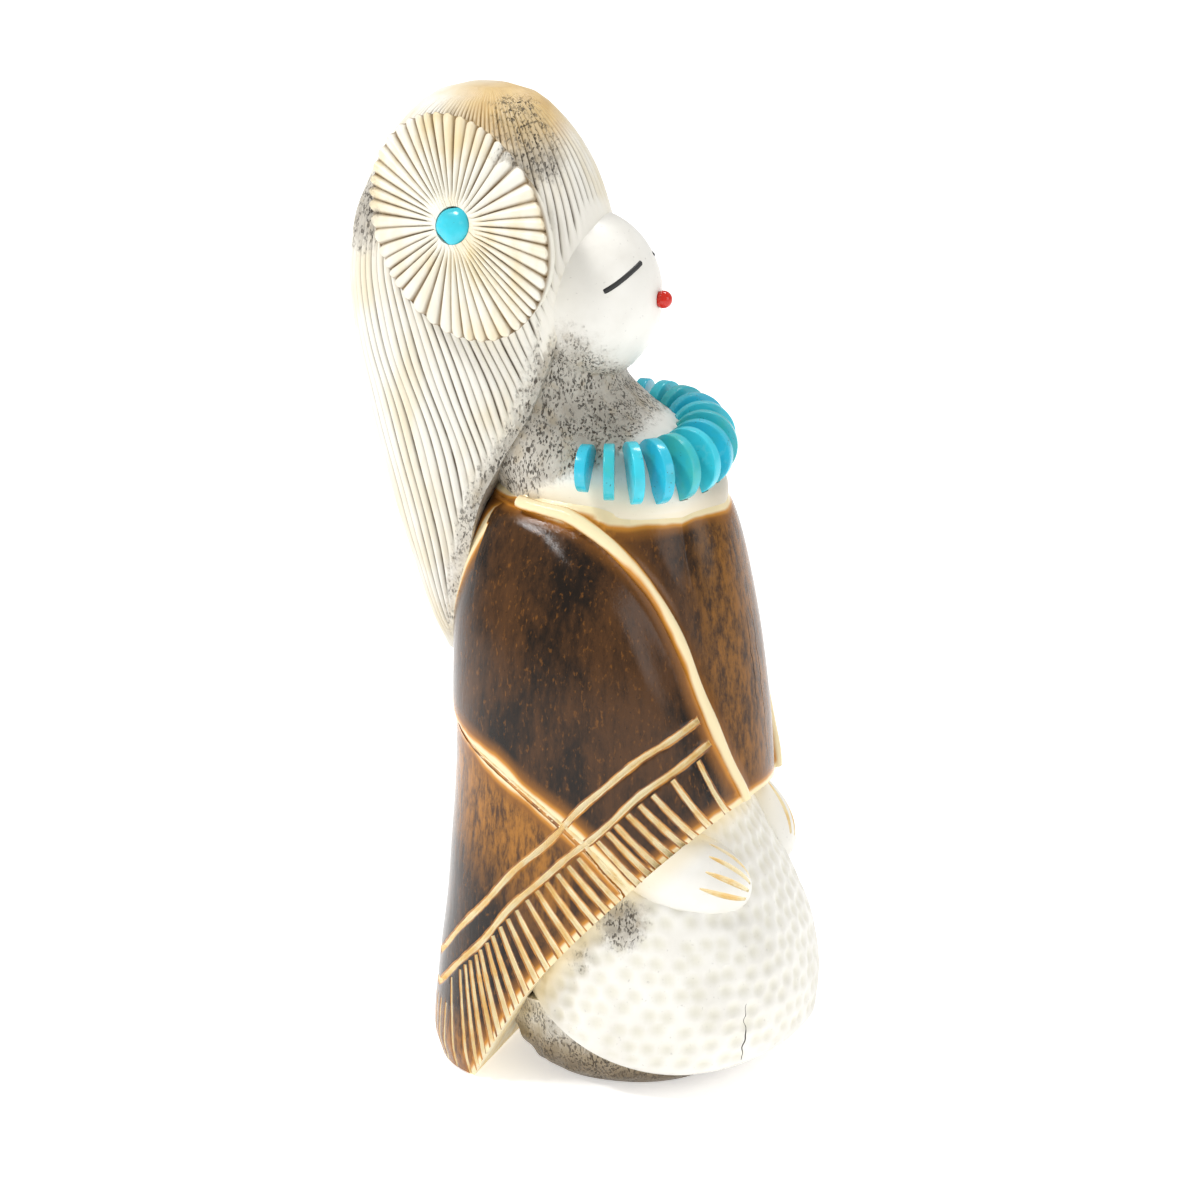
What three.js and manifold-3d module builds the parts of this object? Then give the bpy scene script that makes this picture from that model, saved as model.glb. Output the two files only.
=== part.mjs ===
// A standing maiden carved from one piece of antler, with turquoise and coral let into it.
// The figure faces -Y, her right hand is towards -X, and the flat underside lies on z = 0.
// All sizes are in millimetres.
import * as THREE from "three";
import { mergeVertices } from "three/addons/utils/BufferGeometryUtils.js";
import Module from "manifold-3d";

const wasm = await Module();
wasm.setup();

// Height of the figure. The drawing below is made as tall as the top hair section says and is
// then scaled to this height.
const FIGURE_HEIGHT = 106.2;

// Sections of each rounded form, from the bottom up: [height, back y, front y, half width].
const CLOAK_SECTIONS = [
  [0, 21.4, -9, 16.2],
  [3, 22.2, -12, 17.4],
  [10, 21.6, -13.2, 17.8],
  [20, 20.4, -14.0, 17.9],
  [30, 19.9, -14.4, 17.6],
  [40, 19.9, -12.8, 16.9],
  [48, 19.9, -11.0, 15.6],
  [55, 19.0, -9.8, 13.8],
  [60, 17.6, -8.8, 12.2],
  [63, 16.0, -8.0, 11.0],
  [65, 14.0, -6.6, 9.6],
];
const CHEST_SECTIONS = [
  [24, 4, -13.6, 8.0],
  [31, 4, -14.7, 8.8],
  [38, 4, -14.3, 9.0],
  [46, 4, -13.4, 8.8],
  [54, 4, -12.0, 8.4],
  [61, 4, -10.2, 7.6],
  [65, 4, -8.0, 6.2],
];
const SKIRT_SECTIONS = [
  [1.5, 12, -17.4, 15.6],
  [5, 12, -19.0, 16.6],
  [9, 12, -19.4, 17.0],
  [14, 12, -18.7, 16.8],
  [20, 12, -16.4, 15.8],
  [26, 12, -13.2, 13.8],
  [31, 11, -10.5, 11.5],
];
const PLUG_SECTIONS = [
  [0, 9.5, -10.2, 11.6],
  [1.2, 11.4, -11.8, 13.1],
  [4, 13.4, -13.2, 14.4],
  [9, 14.5, -13.6, 15.0],
];
const NECK_SECTIONS = [
  [57, 15, -8.6, 9.4],
  [63, 15, -9.6, 10.4],
  [67.2, 17, -7.6, 10.0],
  [70, 18, -4.4, 9.1],
  [72.6, 19, -0.8, 8.0],
  [75.4, 20, 1.9, 7.6],
  [80, 20, 3.2, 7.8],
];
const HAIR_SECTIONS = [
  [44, 21.6, 15.0, 2.4],
  [48, 23.2, 13.6, 4.8],
  [54, 25.0, 11.6, 7.0],
  [60, 26.8, 9.6, 8.8],
  [66, 28.3, 7.6, 10.0],
  [72, 29.8, 5.6, 10.8],
  [79, 31.2, 3.4, 11.5],
  [86, 31.9, 2.6, 11.4],
  [91, 31.4, 3.4, 10.6],
  [96, 29.6, 4.8, 9.4],
  [100, 27.6, 6.8, 8.0],
  [103.4, 24.8, 9.6, 6.2],
  [106.2, 20.8, 13.0, 3.4],
];
const SECTION_ROUNDNESS = 2.25; // exponent of the sections: 2 is an ellipse, more is squarer

// Sleeves: a rounded dome each side, over the forearm.
const SLEEVE_CENTRE = [8.0, 3.2, 36.0];
const SLEEVE_RADII = [9.7, 13.2, 27.0];

// Face: one smooth egg.
const FACE_CENTRE = [0, 6.5, 84.0];
const FACE_RADII = [8.6, 8.6, 9.4];

// Lower edge of the cloak, as [y, z] seen from the side, from ahead of it to behind it.
const HEM_POINTS = [
  [-24, 36],
  [-14.6, 31.9],
  [-12.2, 30.6],
  [-7.8, 27.0],
  [-3.1, 22.5],
  [2.6, 16.6],
  [6.9, 11.5],
  [11.7, 4.0],
  [14.4, -0.6],
  [24, -20],
];

// Front edge of the cloak, as [height, angle round the body from the front in degrees].
const OPENING_POINTS = [
  [31.5, 19],
  [36, 26],
  [43, 34],
  [50, 41],
  [56, 52],
  [60.6, 70],
  [63, 96],
  [63.4, 124],
];
const OPENING_ROLL = 0.75; // radius of the rolled edge

// The two carved lines above the fringe, as [y, z] seen from the side.
const LOWER_BAND_POINTS = [
  [-11.0, 38.8],
  [-8.1, 36.6],
  [-5.1, 34.2],
  [-2.2, 31.4],
  [0.3, 28.9],
  [4.8, 24.9],
  [9.6, 19.9],
  [13.1, 15.6],
  [19.5, 8.8],
];
const UPPER_BAND_POINTS = [
  [-10.4, 41.8],
  [-7.2, 39.6],
  [-3.6, 37.0],
  [-0.1, 33.8],
  [3.5, 29.8],
  [8.9, 24.4],
  [14, 18.6],
  [19.5, 12.2],
];
const BAND_HALF_WIDTH = 0.5;
const BAND_DEPTH = 0.6;
const FRINGE_GAP = 0.9; // height between the fringe and the lower band
const FRINGE_PITCH = 2.7;
// How far a groove of the fringe leans back for each unit of height, as [y, lean].
const FRINGE_LEAN_POINTS = [
  [-12.5, 0.4],
  [-9, 0.85],
  [-3, 0.9],
  [3, 0.68],
  [8, 0.42],
  [12, 0.2],
  [16, 0.06],
  [20, 0],
];
const FRINGE_HALF_WIDTH = 0.42;
const FRINGE_DEPTH = 0.6;
const BACK_FRINGE_COUNT = 10;
const BACK_FRINGE_SPREAD = 64; // degrees either side of the middle of the back
// Edge of the sleeve where it lies over the back of the cloak, as [y, z] seen from the side.
const OVERLAP_POINTS = [
  [-4.4, 23.2],
  [-1.2, 26.9],
  [3.2, 30.8],
  [10.3, 35.4],
  [18.4, 38.9],
];

// Skirt: its lower edge is a shallow arc, lowest ahead of the middle.
const SKIRT_LOW = { y: -9.5, z: 3.0 };
const SKIRT_ARC = 0.021;

// Front edge of the hair, as [y, z] seen from the side.
const HAIRLINE_POINTS = [
  [20.4, 42],
  [19.4, 50],
  [17.6, 57],
  [15.8, 62],
  [12.2, 68],
  [9.4, 73],
  [7.2, 79],
  [5.0, 87],
  [3.4, 92.4],
  [2.6, 97],
];
const HAIR_FLUTES = 18;
const HAIR_FLUTE_DEPTH = 0.5;
const HAIR_SWEEP = 0.55; // radians that the locks lean forwards down the sides

// Rosettes: an oval disc over each ear, cut with rays, with a stone in the middle.
const ROSETTES = {
  right: { side: -1, size: 1, centre: [10.0, 16.2, 92.9] },
  left: { side: 1, size: 0.86, centre: [9.4, 17.6, 91.6] },
};
const ROSETTE_RADII = [9.4, 13.2];
const ROSETTE_THICKNESS = 2.6;
const ROSETTE_CROWN = 1.0;
const ROSETTE_RAYS = 18;
const ROSETTE_RAY_DEPTH = 0.55;
const ROSETTE_BACKWARD = 11; // degrees that its face is turned towards the back
const ROSETTE_UPWARD = 17; // degrees that its face is turned up
const ROSETTE_LEAN = 17; // degrees that its long axis leans back at the top
const ROSETTE_TILT = 25; // degrees that its long axis is turned back in its own plane
const ROSETTE_UNDERCUT = 0.9; // share of its rim that its back edge has
const DOT_RADIUS = 2.0;
const DOT_HEIGHT = 0.55;
const DOT_DEPTH = 1.6;

// Necklace: half-moon stones set in slots round the collar.
const STONE_COUNT = 13;
const STONE_SPREAD = 88; // degrees either side of the front
const STONE_LENGTH = 7.4;
const STONE_HEIGHT = 3.5;
const STONE_ROOT = 1.3;
const STONE_THICKNESS = 1.15;
const STONE_BEVEL = 0.22;
const STONE_SLOPE = 50; // degrees that a stone's long edge falls away from the neck
const STONE_RING = { x: -0.7, y: 2.9, z: 68.1, radiusX: 10.2, radiusY: 9.8 };
const STONE_RING_TILT = 0.1; // rise of the string of stones towards her left
const STONE_SIDE_SHRINK = 0.3; // share by which the end stones are smaller
const INLAY_GAP = 0.3; // room between a stone and its slot or socket

// Mouth: a coral bead in a socket.
const BEAD_RADIUS = 0.95;
const BEAD_Z = 84.2;
const BEAD_PROUD = 0.45;

// Eyes: a straight slot each side, filled with jet.
const EYE_INNER = [2.0, 88.6];
const EYE_OUTER = [6.4, 86.3];
const EYE_WIDTH = 0.75;
const EYE_DEPTH = 0.8;
const EYE_GAP = 0.12;
const EYE_STEPS = 6;

// Hands: a flattened mitt each side, cut by finger lines.
const HAND_CENTRE = [10.8, -8.3, 24.5];
const HAND_RADII = [4.4, 8.0, 4.5];
const HAND_TURN = 32; // degrees that the fingers point inwards
const HAND_DIP = 24; // degrees that they point down
const FINGER_LINES = 3;
const FINGER_PITCH = 26; // degrees between them, round the hand

const MERGE_TOLERANCE = 0.12; // flatter corners than this are merged away

const COLORS = {
  antler: new THREE.MeshStandardMaterial({
    color: 0xe9e2d0,
    roughness: 0.45,
    metalness: 0,
  }),
  turquoise: new THREE.MeshStandardMaterial({
    color: 0x2fb7c9,
    roughness: 0.3,
    metalness: 0,
  }),
  coral: new THREE.MeshStandardMaterial({
    color: 0xd9281c,
    roughness: 0.2,
    metalness: 0,
  }),
  jet: new THREE.MeshStandardMaterial({
    color: 0x16181a,
    roughness: 0.25,
    metalness: 0,
  }),
};

const radians = THREE.MathUtils.degToRad;

// A smooth curve through knots [[t, v], ...], with no overshoot between them.
function smoothCurve(knots) {
  const slopes = knots
    .slice(1)
    .map((k, i) => (k[1] - knots[i][1]) / (k[0] - knots[i][0]));
  const tangents = knots.map((_, i) => {
    const before = slopes[Math.max(i - 1, 0)];
    const after = slopes[Math.min(i, slopes.length - 1)];
    return before * after > 0 ? (2 * before * after) / (before + after) : 0;
  });
  return (t) => {
    let i = 0;
    while (i < knots.length - 2 && t > knots[i + 1][0]) i += 1;
    const step = knots[i + 1][0] - knots[i][0];
    const s = THREE.MathUtils.clamp((t - knots[i][0]) / step, 0, 1);
    const rise = s * s * (3 - 2 * s);
    const start = s * (1 - s) * (1 - s) * step;
    const end = s * s * (s - 1) * step;
    return (
      knots[i][1] * (1 - rise) +
      knots[i + 1][1] * rise +
      tangents[i] * start +
      tangents[i + 1] * end
    );
  };
}

// An upright rounded form whose level sections are given by its back, front and half width.
class Form {
  constructor(sections) {
    this.low = sections[0][0];
    this.high = sections[sections.length - 1][0];
    this.heights = sections.map((s) => s[0]);
    this.back = smoothCurve(sections.map((s) => [s[0], s[1]]));
    this.front = smoothCurve(sections.map((s) => [s[0], s[2]]));
    this.half = smoothCurve(sections.map((s) => [s[0], s[3]]));
  }

  // Below 1 inside the form, 1 on its surface.
  level(p) {
    if (p.z < this.low || p.z > this.high) return 2;
    const centre = (this.back(p.z) + this.front(p.z)) / 2;
    const depth = (this.back(p.z) - this.front(p.z)) / 2;
    const sum =
      Math.abs(p.x / this.half(p.z)) ** SECTION_ROUNDNESS +
      Math.abs((p.y - centre) / depth) ** SECTION_ROUNDNESS;
    return sum ** (1 / SECTION_ROUNDNESS);
  }

  // The surface point at a height and an angle from the front, pushed in by inset.
  point(angle, z, inset = 0) {
    const centre = (this.back(z) + this.front(z)) / 2;
    const depth = (this.back(z) - this.front(z)) / 2;
    const sum =
      Math.abs(Math.sin(angle) / this.half(z)) ** SECTION_ROUNDNESS +
      Math.abs(Math.cos(angle) / depth) ** SECTION_ROUNDNESS;
    const radius = sum ** (-1 / SECTION_ROUNDNESS) - inset;
    return new THREE.Vector3(
      radius * Math.sin(angle),
      centre - radius * Math.cos(angle),
      z,
    );
  }

  // A closed mesh. angleAt and insetAt may sweep and flute its columns.
  solid(columns, rows, { angleAt = (a) => a, insetAt = () => 0 } = {}) {
    const levels = [];
    for (let r = 0; r <= rows; r += 1) {
      const share = r / rows;
      const eased = share - 0.06 * Math.sin(2 * Math.PI * share);
      levels.push(this.low + (this.high - this.low) * eased);
    }
    const rings = levels.map((z) => {
      const ring = [];
      for (let c = 0; c < columns; c += 1) {
        const angle = (2 * Math.PI * c) / columns;
        ring.push(this.point(angleAt(angle, z), z, insetAt(c, z)));
      }
      return ring;
    });
    return skinRings(rings);
  }
}

// A manifold-3d solid from a list of points and triangles.
function solidFrom(points, triangles) {
  const vertProperties = new Float32Array(
    points.flatMap((p) => [p.x, p.y, p.z]),
  );
  const triVerts = new Uint32Array(triangles.flat());
  return new wasm.Manifold(
    new wasm.Mesh({ numProp: 3, vertProperties, triVerts }),
  );
}

// A manifold-3d solid from a closed three.js geometry.
function solidOf(geometry, matrix = new THREE.Matrix4()) {
  const plain = geometry.clone().applyMatrix4(matrix);
  plain.deleteAttribute("normal");
  plain.deleteAttribute("uv");
  const merged = mergeVertices(plain, 1e-4);
  return new wasm.Manifold(
    new wasm.Mesh({
      numProp: 3,
      vertProperties: merged.attributes.position.array,
      triVerts: new Uint32Array(merged.index.array),
    }),
  );
}

// Joins rings of points, which run anticlockwise seen from the last ring, into a closed solid.
function skinRings(rings) {
  const size = rings[0].length;
  const points = rings.flat();
  const triangles = [];
  for (let r = 0; r < rings.length - 1; r += 1) {
    for (let c = 0; c < size; c += 1) {
      const next = (c + 1) % size;
      const a = r * size + c;
      const b = r * size + next;
      const d = (r + 1) * size + c;
      const e = (r + 1) * size + next;
      triangles.push([a, b, e], [a, e, d]);
    }
  }
  const middle = (ring) =>
    ring
      .reduce((sum, p) => sum.add(p), new THREE.Vector3())
      .multiplyScalar(1 / size);
  const bottom = points.push(middle(rings[0])) - 1;
  const top = points.push(middle(rings[rings.length - 1])) - 1;
  const last = (rings.length - 1) * size;
  for (let c = 0; c < size; c += 1) {
    const next = (c + 1) % size;
    triangles.push([bottom, next, c], [top, last + c, last + next]);
  }
  return solidFrom(points, triangles);
}

// A copy on the figure's other side. side is 1 for her left (+X) and -1 for her right.
const sideMatrix = (side) => new THREE.Matrix4().makeScale(side, 1, 1);

// An ellipsoid, centred on the given side.
function ellipsoid(
  centre,
  radii,
  side = 1,
  turn = new THREE.Quaternion(),
  steps = [18, 12],
) {
  const geometry = new THREE.SphereGeometry(1, steps[0], steps[1]);
  geometry.rotateX(Math.PI / 2);
  const matrix = new THREE.Matrix4().compose(
    new THREE.Vector3(side * centre[0], centre[1], centre[2]),
    turn,
    new THREE.Vector3(...radii),
  );
  return solidOf(geometry, matrix);
}

const cloakForm = new Form(CLOAK_SECTIONS);
const chestForm = new Form(CHEST_SECTIONS);
const skirtForm = new Form(SKIRT_SECTIONS);
const plugForm = new Form(PLUG_SECTIONS);
const neckForm = new Form(NECK_SECTIONS);
const hairForm = new Form(HAIR_SECTIONS);

// Below 1 inside the sleeve or the cloak.
function cloakLevel(p) {
  const sleeve = Math.hypot(
    (Math.abs(p.x) - SLEEVE_CENTRE[0]) / SLEEVE_RADII[0],
    (p.y - SLEEVE_CENTRE[1]) / SLEEVE_RADII[1],
    (p.z - SLEEVE_CENTRE[2]) / SLEEVE_RADII[2],
  );
  return Math.min(sleeve, cloakForm.level(p));
}

// Below 1 inside the face.
function faceLevel(p) {
  return Math.hypot(
    (p.x - FACE_CENTRE[0]) / FACE_RADII[0],
    (p.y - FACE_CENTRE[1]) / FACE_RADII[1],
    (p.z - FACE_CENTRE[2]) / FACE_RADII[2],
  );
}

// Where a ray from inside leaves a surface, with the outward normal there.
function surfaceAt(levelOf, origin, direction) {
  let near = 0;
  let far = 40;
  for (let i = 0; i < 30; i += 1) {
    const middle = (near + far) / 2;
    const inside =
      levelOf(origin.clone().addScaledVector(direction, middle)) < 1;
    if (inside) near = middle;
    else far = middle;
  }
  const point = origin.clone().addScaledVector(direction, near);
  const nudge = 0.05;
  const slope = (axis) =>
    levelOf(point.clone().addScaledVector(axis, nudge)) -
    levelOf(point.clone().addScaledVector(axis, -nudge));
  const normal = new THREE.Vector3(
    slope(new THREE.Vector3(1, 0, 0)),
    slope(new THREE.Vector3(0, 1, 0)),
    slope(new THREE.Vector3(0, 0, 1)),
  ).normalize();
  return { point, normal };
}

// The cloak's surface point that is seen at (y, z) from one side.
function cloakSide(side, y, z) {
  const origin = new THREE.Vector3(0, y, z);
  return surfaceAt(cloakLevel, origin, new THREE.Vector3(side, 0, 0));
}

// The cloak's surface point at a height and an angle from the front, on one side.
function cloakRound(side, angle, z) {
  const centre = (cloakForm.back(z) + cloakForm.front(z)) / 2;
  const direction = new THREE.Vector3(
    side * Math.sin(angle),
    -Math.cos(angle),
    0,
  );
  return surfaceAt(cloakLevel, new THREE.Vector3(0, centre, z), direction);
}

// Sections across a path of surface points, each made by corners(point, normal, sideways).
function pathRings(path, corners) {
  return path.map(({ point, normal }, i) => {
    const before = path[Math.max(i - 1, 0)].point;
    const after = path[Math.min(i + 1, path.length - 1)].point;
    const along = after.clone().sub(before).normalize();
    const sideways = normal.clone().cross(along).normalize();
    return corners(point, normal, sideways);
  });
}

// A V-shaped cutter that follows a path on a surface.
function vCutter(path, halfWidth, depth) {
  const lift = depth;
  const spread = halfWidth * (1 + lift / depth);
  return skinRings(
    pathRings(path, (point, normal, sideways) => [
      point.clone().addScaledVector(normal, -depth),
      point
        .clone()
        .addScaledVector(normal, lift)
        .addScaledVector(sideways, spread),
      point
        .clone()
        .addScaledVector(normal, lift)
        .addScaledVector(sideways, -spread),
    ]),
  );
}

// A round roll of six sides that follows a path on a surface.
function roll(path, radius, lift) {
  const sides = 6;
  return skinRings(
    pathRings(path, (point, normal, sideways) => {
      const ring = [];
      for (let i = 0; i < sides; i += 1) {
        const angle = (-2 * Math.PI * i) / sides;
        ring.push(
          point
            .clone()
            .addScaledVector(normal, lift + radius * Math.cos(angle))
            .addScaledVector(sideways, radius * Math.sin(angle)),
        );
      }
      return ring;
    }),
  );
}

// A bar of square section that follows a path on a surface, from depth below it to lift above.
function bar(path, halfWidth, depth, lift) {
  return skinRings(
    pathRings(path, (point, normal, sideways) =>
      [
        [-depth, -1],
        [-depth, 1],
        [lift, 1],
        [lift, -1],
      ].map(([height, across]) =>
        point
          .clone()
          .addScaledVector(normal, height)
          .addScaledVector(sideways, across * halfWidth),
      ),
    ),
  );
}

// A prism through the whole figure, from side to side, over an outline in (y, z).
function prism(outline) {
  const width = 90;
  const shape = new THREE.Shape(outline.map(([y, z]) => new THREE.Vector2(y, z)));
  const geometry = new THREE.ExtrudeGeometry(shape, {
    depth: width,
    bevelEnabled: false,
  });
  const matrix = new THREE.Matrix4().makeBasis(
    new THREE.Vector3(0, 1, 0),
    new THREE.Vector3(0, 0, 1),
    new THREE.Vector3(1, 0, 0),
  );
  matrix.setPosition(-width / 2, 0, 0);
  return solidOf(geometry, matrix);
}

const hemZ = smoothCurve(HEM_POINTS);
const lowerBandZ = smoothCurve(LOWER_BAND_POINTS);
const upperBandZ = smoothCurve(UPPER_BAND_POINTS);
const overlapZ = smoothCurve(OVERLAP_POINTS);
const fringeLean = smoothCurve(FRINGE_LEAN_POINTS);

// Everything below the curved lower edge of the cloak.
function belowHem() {
  const steps = 20;
  const front = HEM_POINTS[0][0];
  const back = HEM_POINTS[HEM_POINTS.length - 1][0];
  const floor = -FIGURE_HEIGHT;
  const outline = [
    [front, floor],
    [back, floor],
  ];
  for (let i = steps; i >= 0; i -= 1) {
    const y = front + ((back - front) * i) / steps;
    outline.push([y, hemZ(y)]);
  }
  return prism(outline);
}

// Everything below the skirt's curved lower edge.
function belowSkirt() {
  const reach = 1.2 * skirtForm.high;
  const steps = 16;
  const outline = [
    [-reach, -reach],
    [reach, -reach],
  ];
  for (let i = steps; i >= 0; i -= 1) {
    const y = reach * ((2 * i) / steps - 1);
    outline.push([y, SKIRT_LOW.z + SKIRT_ARC * (y - SKIRT_LOW.y) ** 2]);
  }
  return prism(outline);
}

// Everything ahead of the hairline, down to the tip of the hair.
function aheadOfHair() {
  const reach = 40;
  const steps = 16;
  const line = smoothCurve(HAIRLINE_POINTS.map(([y, z]) => [z, y]));
  const low = HAIRLINE_POINTS[0][1];
  const high = HAIRLINE_POINTS[HAIRLINE_POINTS.length - 1][1];
  const outline = [
    [-reach, low - 5],
    [line(low), low - 5],
  ];
  for (let i = 0; i <= steps; i += 1) {
    const z = low + ((high - low) * i) / steps;
    outline.push([line(z), z]);
  }
  outline.push([-reach, high]);
  return prism(outline);
}

// How far down the sides the locks of hair are swept forwards.
function hairAngle(angle, z) {
  const share = THREE.MathUtils.clamp((hairForm.high - z) / 50, 0, 1);
  const lean = HAIR_SWEEP * share * (1 - 0.45 * share);
  return angle - lean * Math.sin(angle);
}

function hairSolid() {
  const columns = HAIR_FLUTES * 2;
  const whole = hairForm.solid(columns, 10, {
    angleAt: hairAngle,
    insetAt: (column, z) =>
      column % 2 && z > hairForm.low + 3 && z < hairForm.high - 1
        ? HAIR_FLUTE_DEPTH
        : 0,
  });
  return whole.subtract(aheadOfHair());
}

// The placing of a rosette: z is its outward axis.
function rosetteMatrix({ side, centre }) {
  const outward = new THREE.Vector3(
    side * Math.cos(radians(ROSETTE_BACKWARD)),
    Math.sin(radians(ROSETTE_BACKWARD)),
    Math.tan(radians(ROSETTE_UPWARD)),
  ).normalize();
  const up = new THREE.Vector3(0, Math.sin(radians(ROSETTE_LEAN)), 1);
  const across = up.clone().cross(outward).normalize();
  const upright = outward.clone().cross(across);
  return new THREE.Matrix4()
    .makeBasis(across, upright, outward)
    .setPosition(side * centre[0], centre[1], centre[2]);
}

function rosetteSolid(rosette) {
  const columns = ROSETTE_RAYS * 2;
  const axis = new THREE.Vector3(0, 0, 1);
  const profile = [
    [ROSETTE_UNDERCUT, -3],
    [1, ROSETTE_THICKNESS - ROSETTE_CROWN],
    [0.62, ROSETTE_THICKNESS - 0.36 * ROSETTE_CROWN],
    [0.2, ROSETTE_THICKNESS],
  ];
  const rings = profile.map(([share, height], row) => {
    const ring = [];
    for (let c = 0; c < columns; c += 1) {
      const angle = (2 * Math.PI * c) / columns;
      const cut = c % 2 && row > 0 ? ROSETTE_RAY_DEPTH * Math.sqrt(share) : 0;
      ring.push(
        new THREE.Vector3(
          share * rosette.size * ROSETTE_RADII[0] * Math.cos(angle),
          share * rosette.size * ROSETTE_RADII[1] * Math.sin(angle),
          height - cut,
        )
          .applyAxisAngle(axis, radians(-rosette.side * ROSETTE_TILT))
          .applyMatrix4(rosetteMatrix(rosette)),
      );
    }
    return ring;
  });
  return skinRings(rings);
}

// A domed round stone, as a turned profile round the rosette's axis.
function dotGeometry(clearance = 0) {
  const radius = DOT_RADIUS + clearance;
  const foot = ROSETTE_THICKNESS - DOT_DEPTH - clearance;
  const top = clearance ? ROSETTE_THICKNESS + 2 : ROSETTE_THICKNESS;
  const profile = [
    new THREE.Vector2(0, foot),
    new THREE.Vector2(radius, foot),
    new THREE.Vector2(radius, top),
  ];
  if (!clearance)
    profile.push(
      new THREE.Vector2(radius * 0.72, top + DOT_HEIGHT * 0.7),
    );
  profile.push(
    new THREE.Vector2(0, clearance ? top : top + DOT_HEIGHT),
  );
  const geometry = new THREE.LatheGeometry(profile, 14);
  geometry.rotateX(Math.PI / 2);
  return geometry;
}

// The opening edge of the cloak on one side, from the hands up to the nape.
function openingPath(side, steps = 14) {
  const edge = smoothCurve(OPENING_POINTS.map(([, angle], i) => [i, angle]));
  const heights = smoothCurve(OPENING_POINTS.map(([z], i) => [i, z]));
  const path = [];
  for (let i = 0; i <= steps; i += 1) {
    const t = ((OPENING_POINTS.length - 1) * i) / steps;
    path.push(cloakRound(side, radians(edge(t)), heights(t)));
  }
  return path;
}

// A line on the cloak through points of which the first and last y are given.
function bandPath(side, points, heightAt, steps = 9) {
  const frontY = points[0][0];
  const backY = points[points.length - 1][0];
  const path = [];
  for (let i = 0; i <= steps; i += 1) {
    const y = frontY + ((backY - frontY) * i) / steps;
    path.push(cloakSide(side, Math.min(y, 19), heightAt(y)));
  }
  return path;
}

// Places along the lower edge, an equal step apart, from the hands to the back.
function fringePlaces() {
  const places = [];
  const step = 0.05;
  let walked = 0;
  for (let y = FRINGE_LEAN_POINTS[0][0]; y < 19.2; y += step) {
    if (walked <= 0) {
      places.push(y);
      walked += FRINGE_PITCH;
    }
    const drop = Math.max(hemZ(y), 0) - Math.max(hemZ(y + step), 0);
    walked -= Math.hypot(step, drop);
  }
  return places;
}

// One groove of the fringe at a place y along the lower edge, seen from the side.
function fringePath(side, y) {
  const lean = fringeLean(y);
  const start = Math.max(hemZ(y), 0);
  let rise = 0;
  while (start + rise < lowerBandZ(y + lean * rise) - FRINGE_GAP) rise += 0.05;
  return [-1.2, rise].map((height) => {
    const py = Math.min(y + lean * height, 19.4);
    return cloakSide(side, py, Math.max(start + height, 0.1));
  });
}

function fringeCutters() {
  const cutters = [];
  for (const side of [-1, 1])
    for (const y of fringePlaces())
      cutters.push(
        vCutter(fringePath(side, y), FRINGE_HALF_WIDTH, FRINGE_DEPTH),
      );
  for (let i = 0; i < BACK_FRINGE_COUNT; i += 1) {
    const share = i / (BACK_FRINGE_COUNT - 1) - 0.5;
    const angle = Math.PI - radians(2 * BACK_FRINGE_SPREAD * share);
    const path = [-1, 8.2].map((z) =>
      cloakRound(1, angle, Math.max(z, 0.05)),
    );
    path[0].point.z = -1;
    cutters.push(vCutter(path, FRINGE_HALF_WIDTH, FRINGE_DEPTH));
  }
  return cutters;
}

function handTurn(side) {
  return new THREE.Quaternion().setFromEuler(
    new THREE.Euler(radians(HAND_DIP), 0, side * radians(-HAND_TURN), "ZXY"),
  );
}

function handSolid(side) {
  return ellipsoid(HAND_CENTRE, HAND_RADII, side, handTurn(side), [16, 10]);
}

// Lines between the fingers of one hand.
function fingerCutters(side) {
  const centre = new THREE.Vector3(
    side * HAND_CENTRE[0],
    HAND_CENTRE[1],
    HAND_CENTRE[2],
  );
  const turn = handTurn(side);
  const back = turn.clone().invert();
  const levelOf = (p) => {
    const q = p.clone().sub(centre).applyQuaternion(back);
    return Math.hypot(
      q.x / HAND_RADII[0],
      q.y / HAND_RADII[1],
      q.z / HAND_RADII[2],
    );
  };
  const cutters = [];
  for (let i = 0; i < FINGER_LINES; i += 1) {
    const round = radians(30 + i * FINGER_PITCH);
    const outward = new THREE.Vector3(
      side * Math.sin(round),
      0,
      Math.cos(round),
    ).applyQuaternion(turn);
    const path = [0.3, 0.55, 0.8].map((share) => {
      const origin = new THREE.Vector3(0, -share * HAND_RADII[1], 0)
        .applyQuaternion(turn)
        .add(centre);
      return surfaceAt(levelOf, origin, outward);
    });
    cutters.push(vCutter(path, 0.3, 0.45));
  }
  return cutters;
}

// Placing of one necklace stone: x runs down its long edge, y stands out of the collar.
function stoneMatrix(index) {
  const share = (2 * index) / (STONE_COUNT - 1) - 1;
  const angle = radians(STONE_SPREAD * share);
  const outward = new THREE.Vector3(Math.sin(angle), -Math.cos(angle), 0);
  const down = outward
    .clone()
    .multiplyScalar(Math.cos(radians(STONE_SLOPE)))
    .add(new THREE.Vector3(0, 0, -Math.sin(radians(STONE_SLOPE))));
  const standing = outward
    .clone()
    .multiplyScalar(Math.sin(radians(STONE_SLOPE)))
    .add(new THREE.Vector3(0, 0, Math.cos(radians(STONE_SLOPE))));
  const size = 1 - STONE_SIDE_SHRINK * Math.abs(share) ** 3;
  const matrix = new THREE.Matrix4().makeBasis(
    down,
    standing,
    down.clone().cross(standing),
  );
  matrix.scale(new THREE.Vector3(size, size, 1));
  const x = STONE_RING.x + STONE_RING.radiusX * Math.sin(angle);
  matrix.setPosition(
    x,
    STONE_RING.y - STONE_RING.radiusY * Math.cos(angle),
    STONE_RING.z + 1.2 * share ** 2 + STONE_RING_TILT * x,
  );
  return matrix;
}

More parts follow.
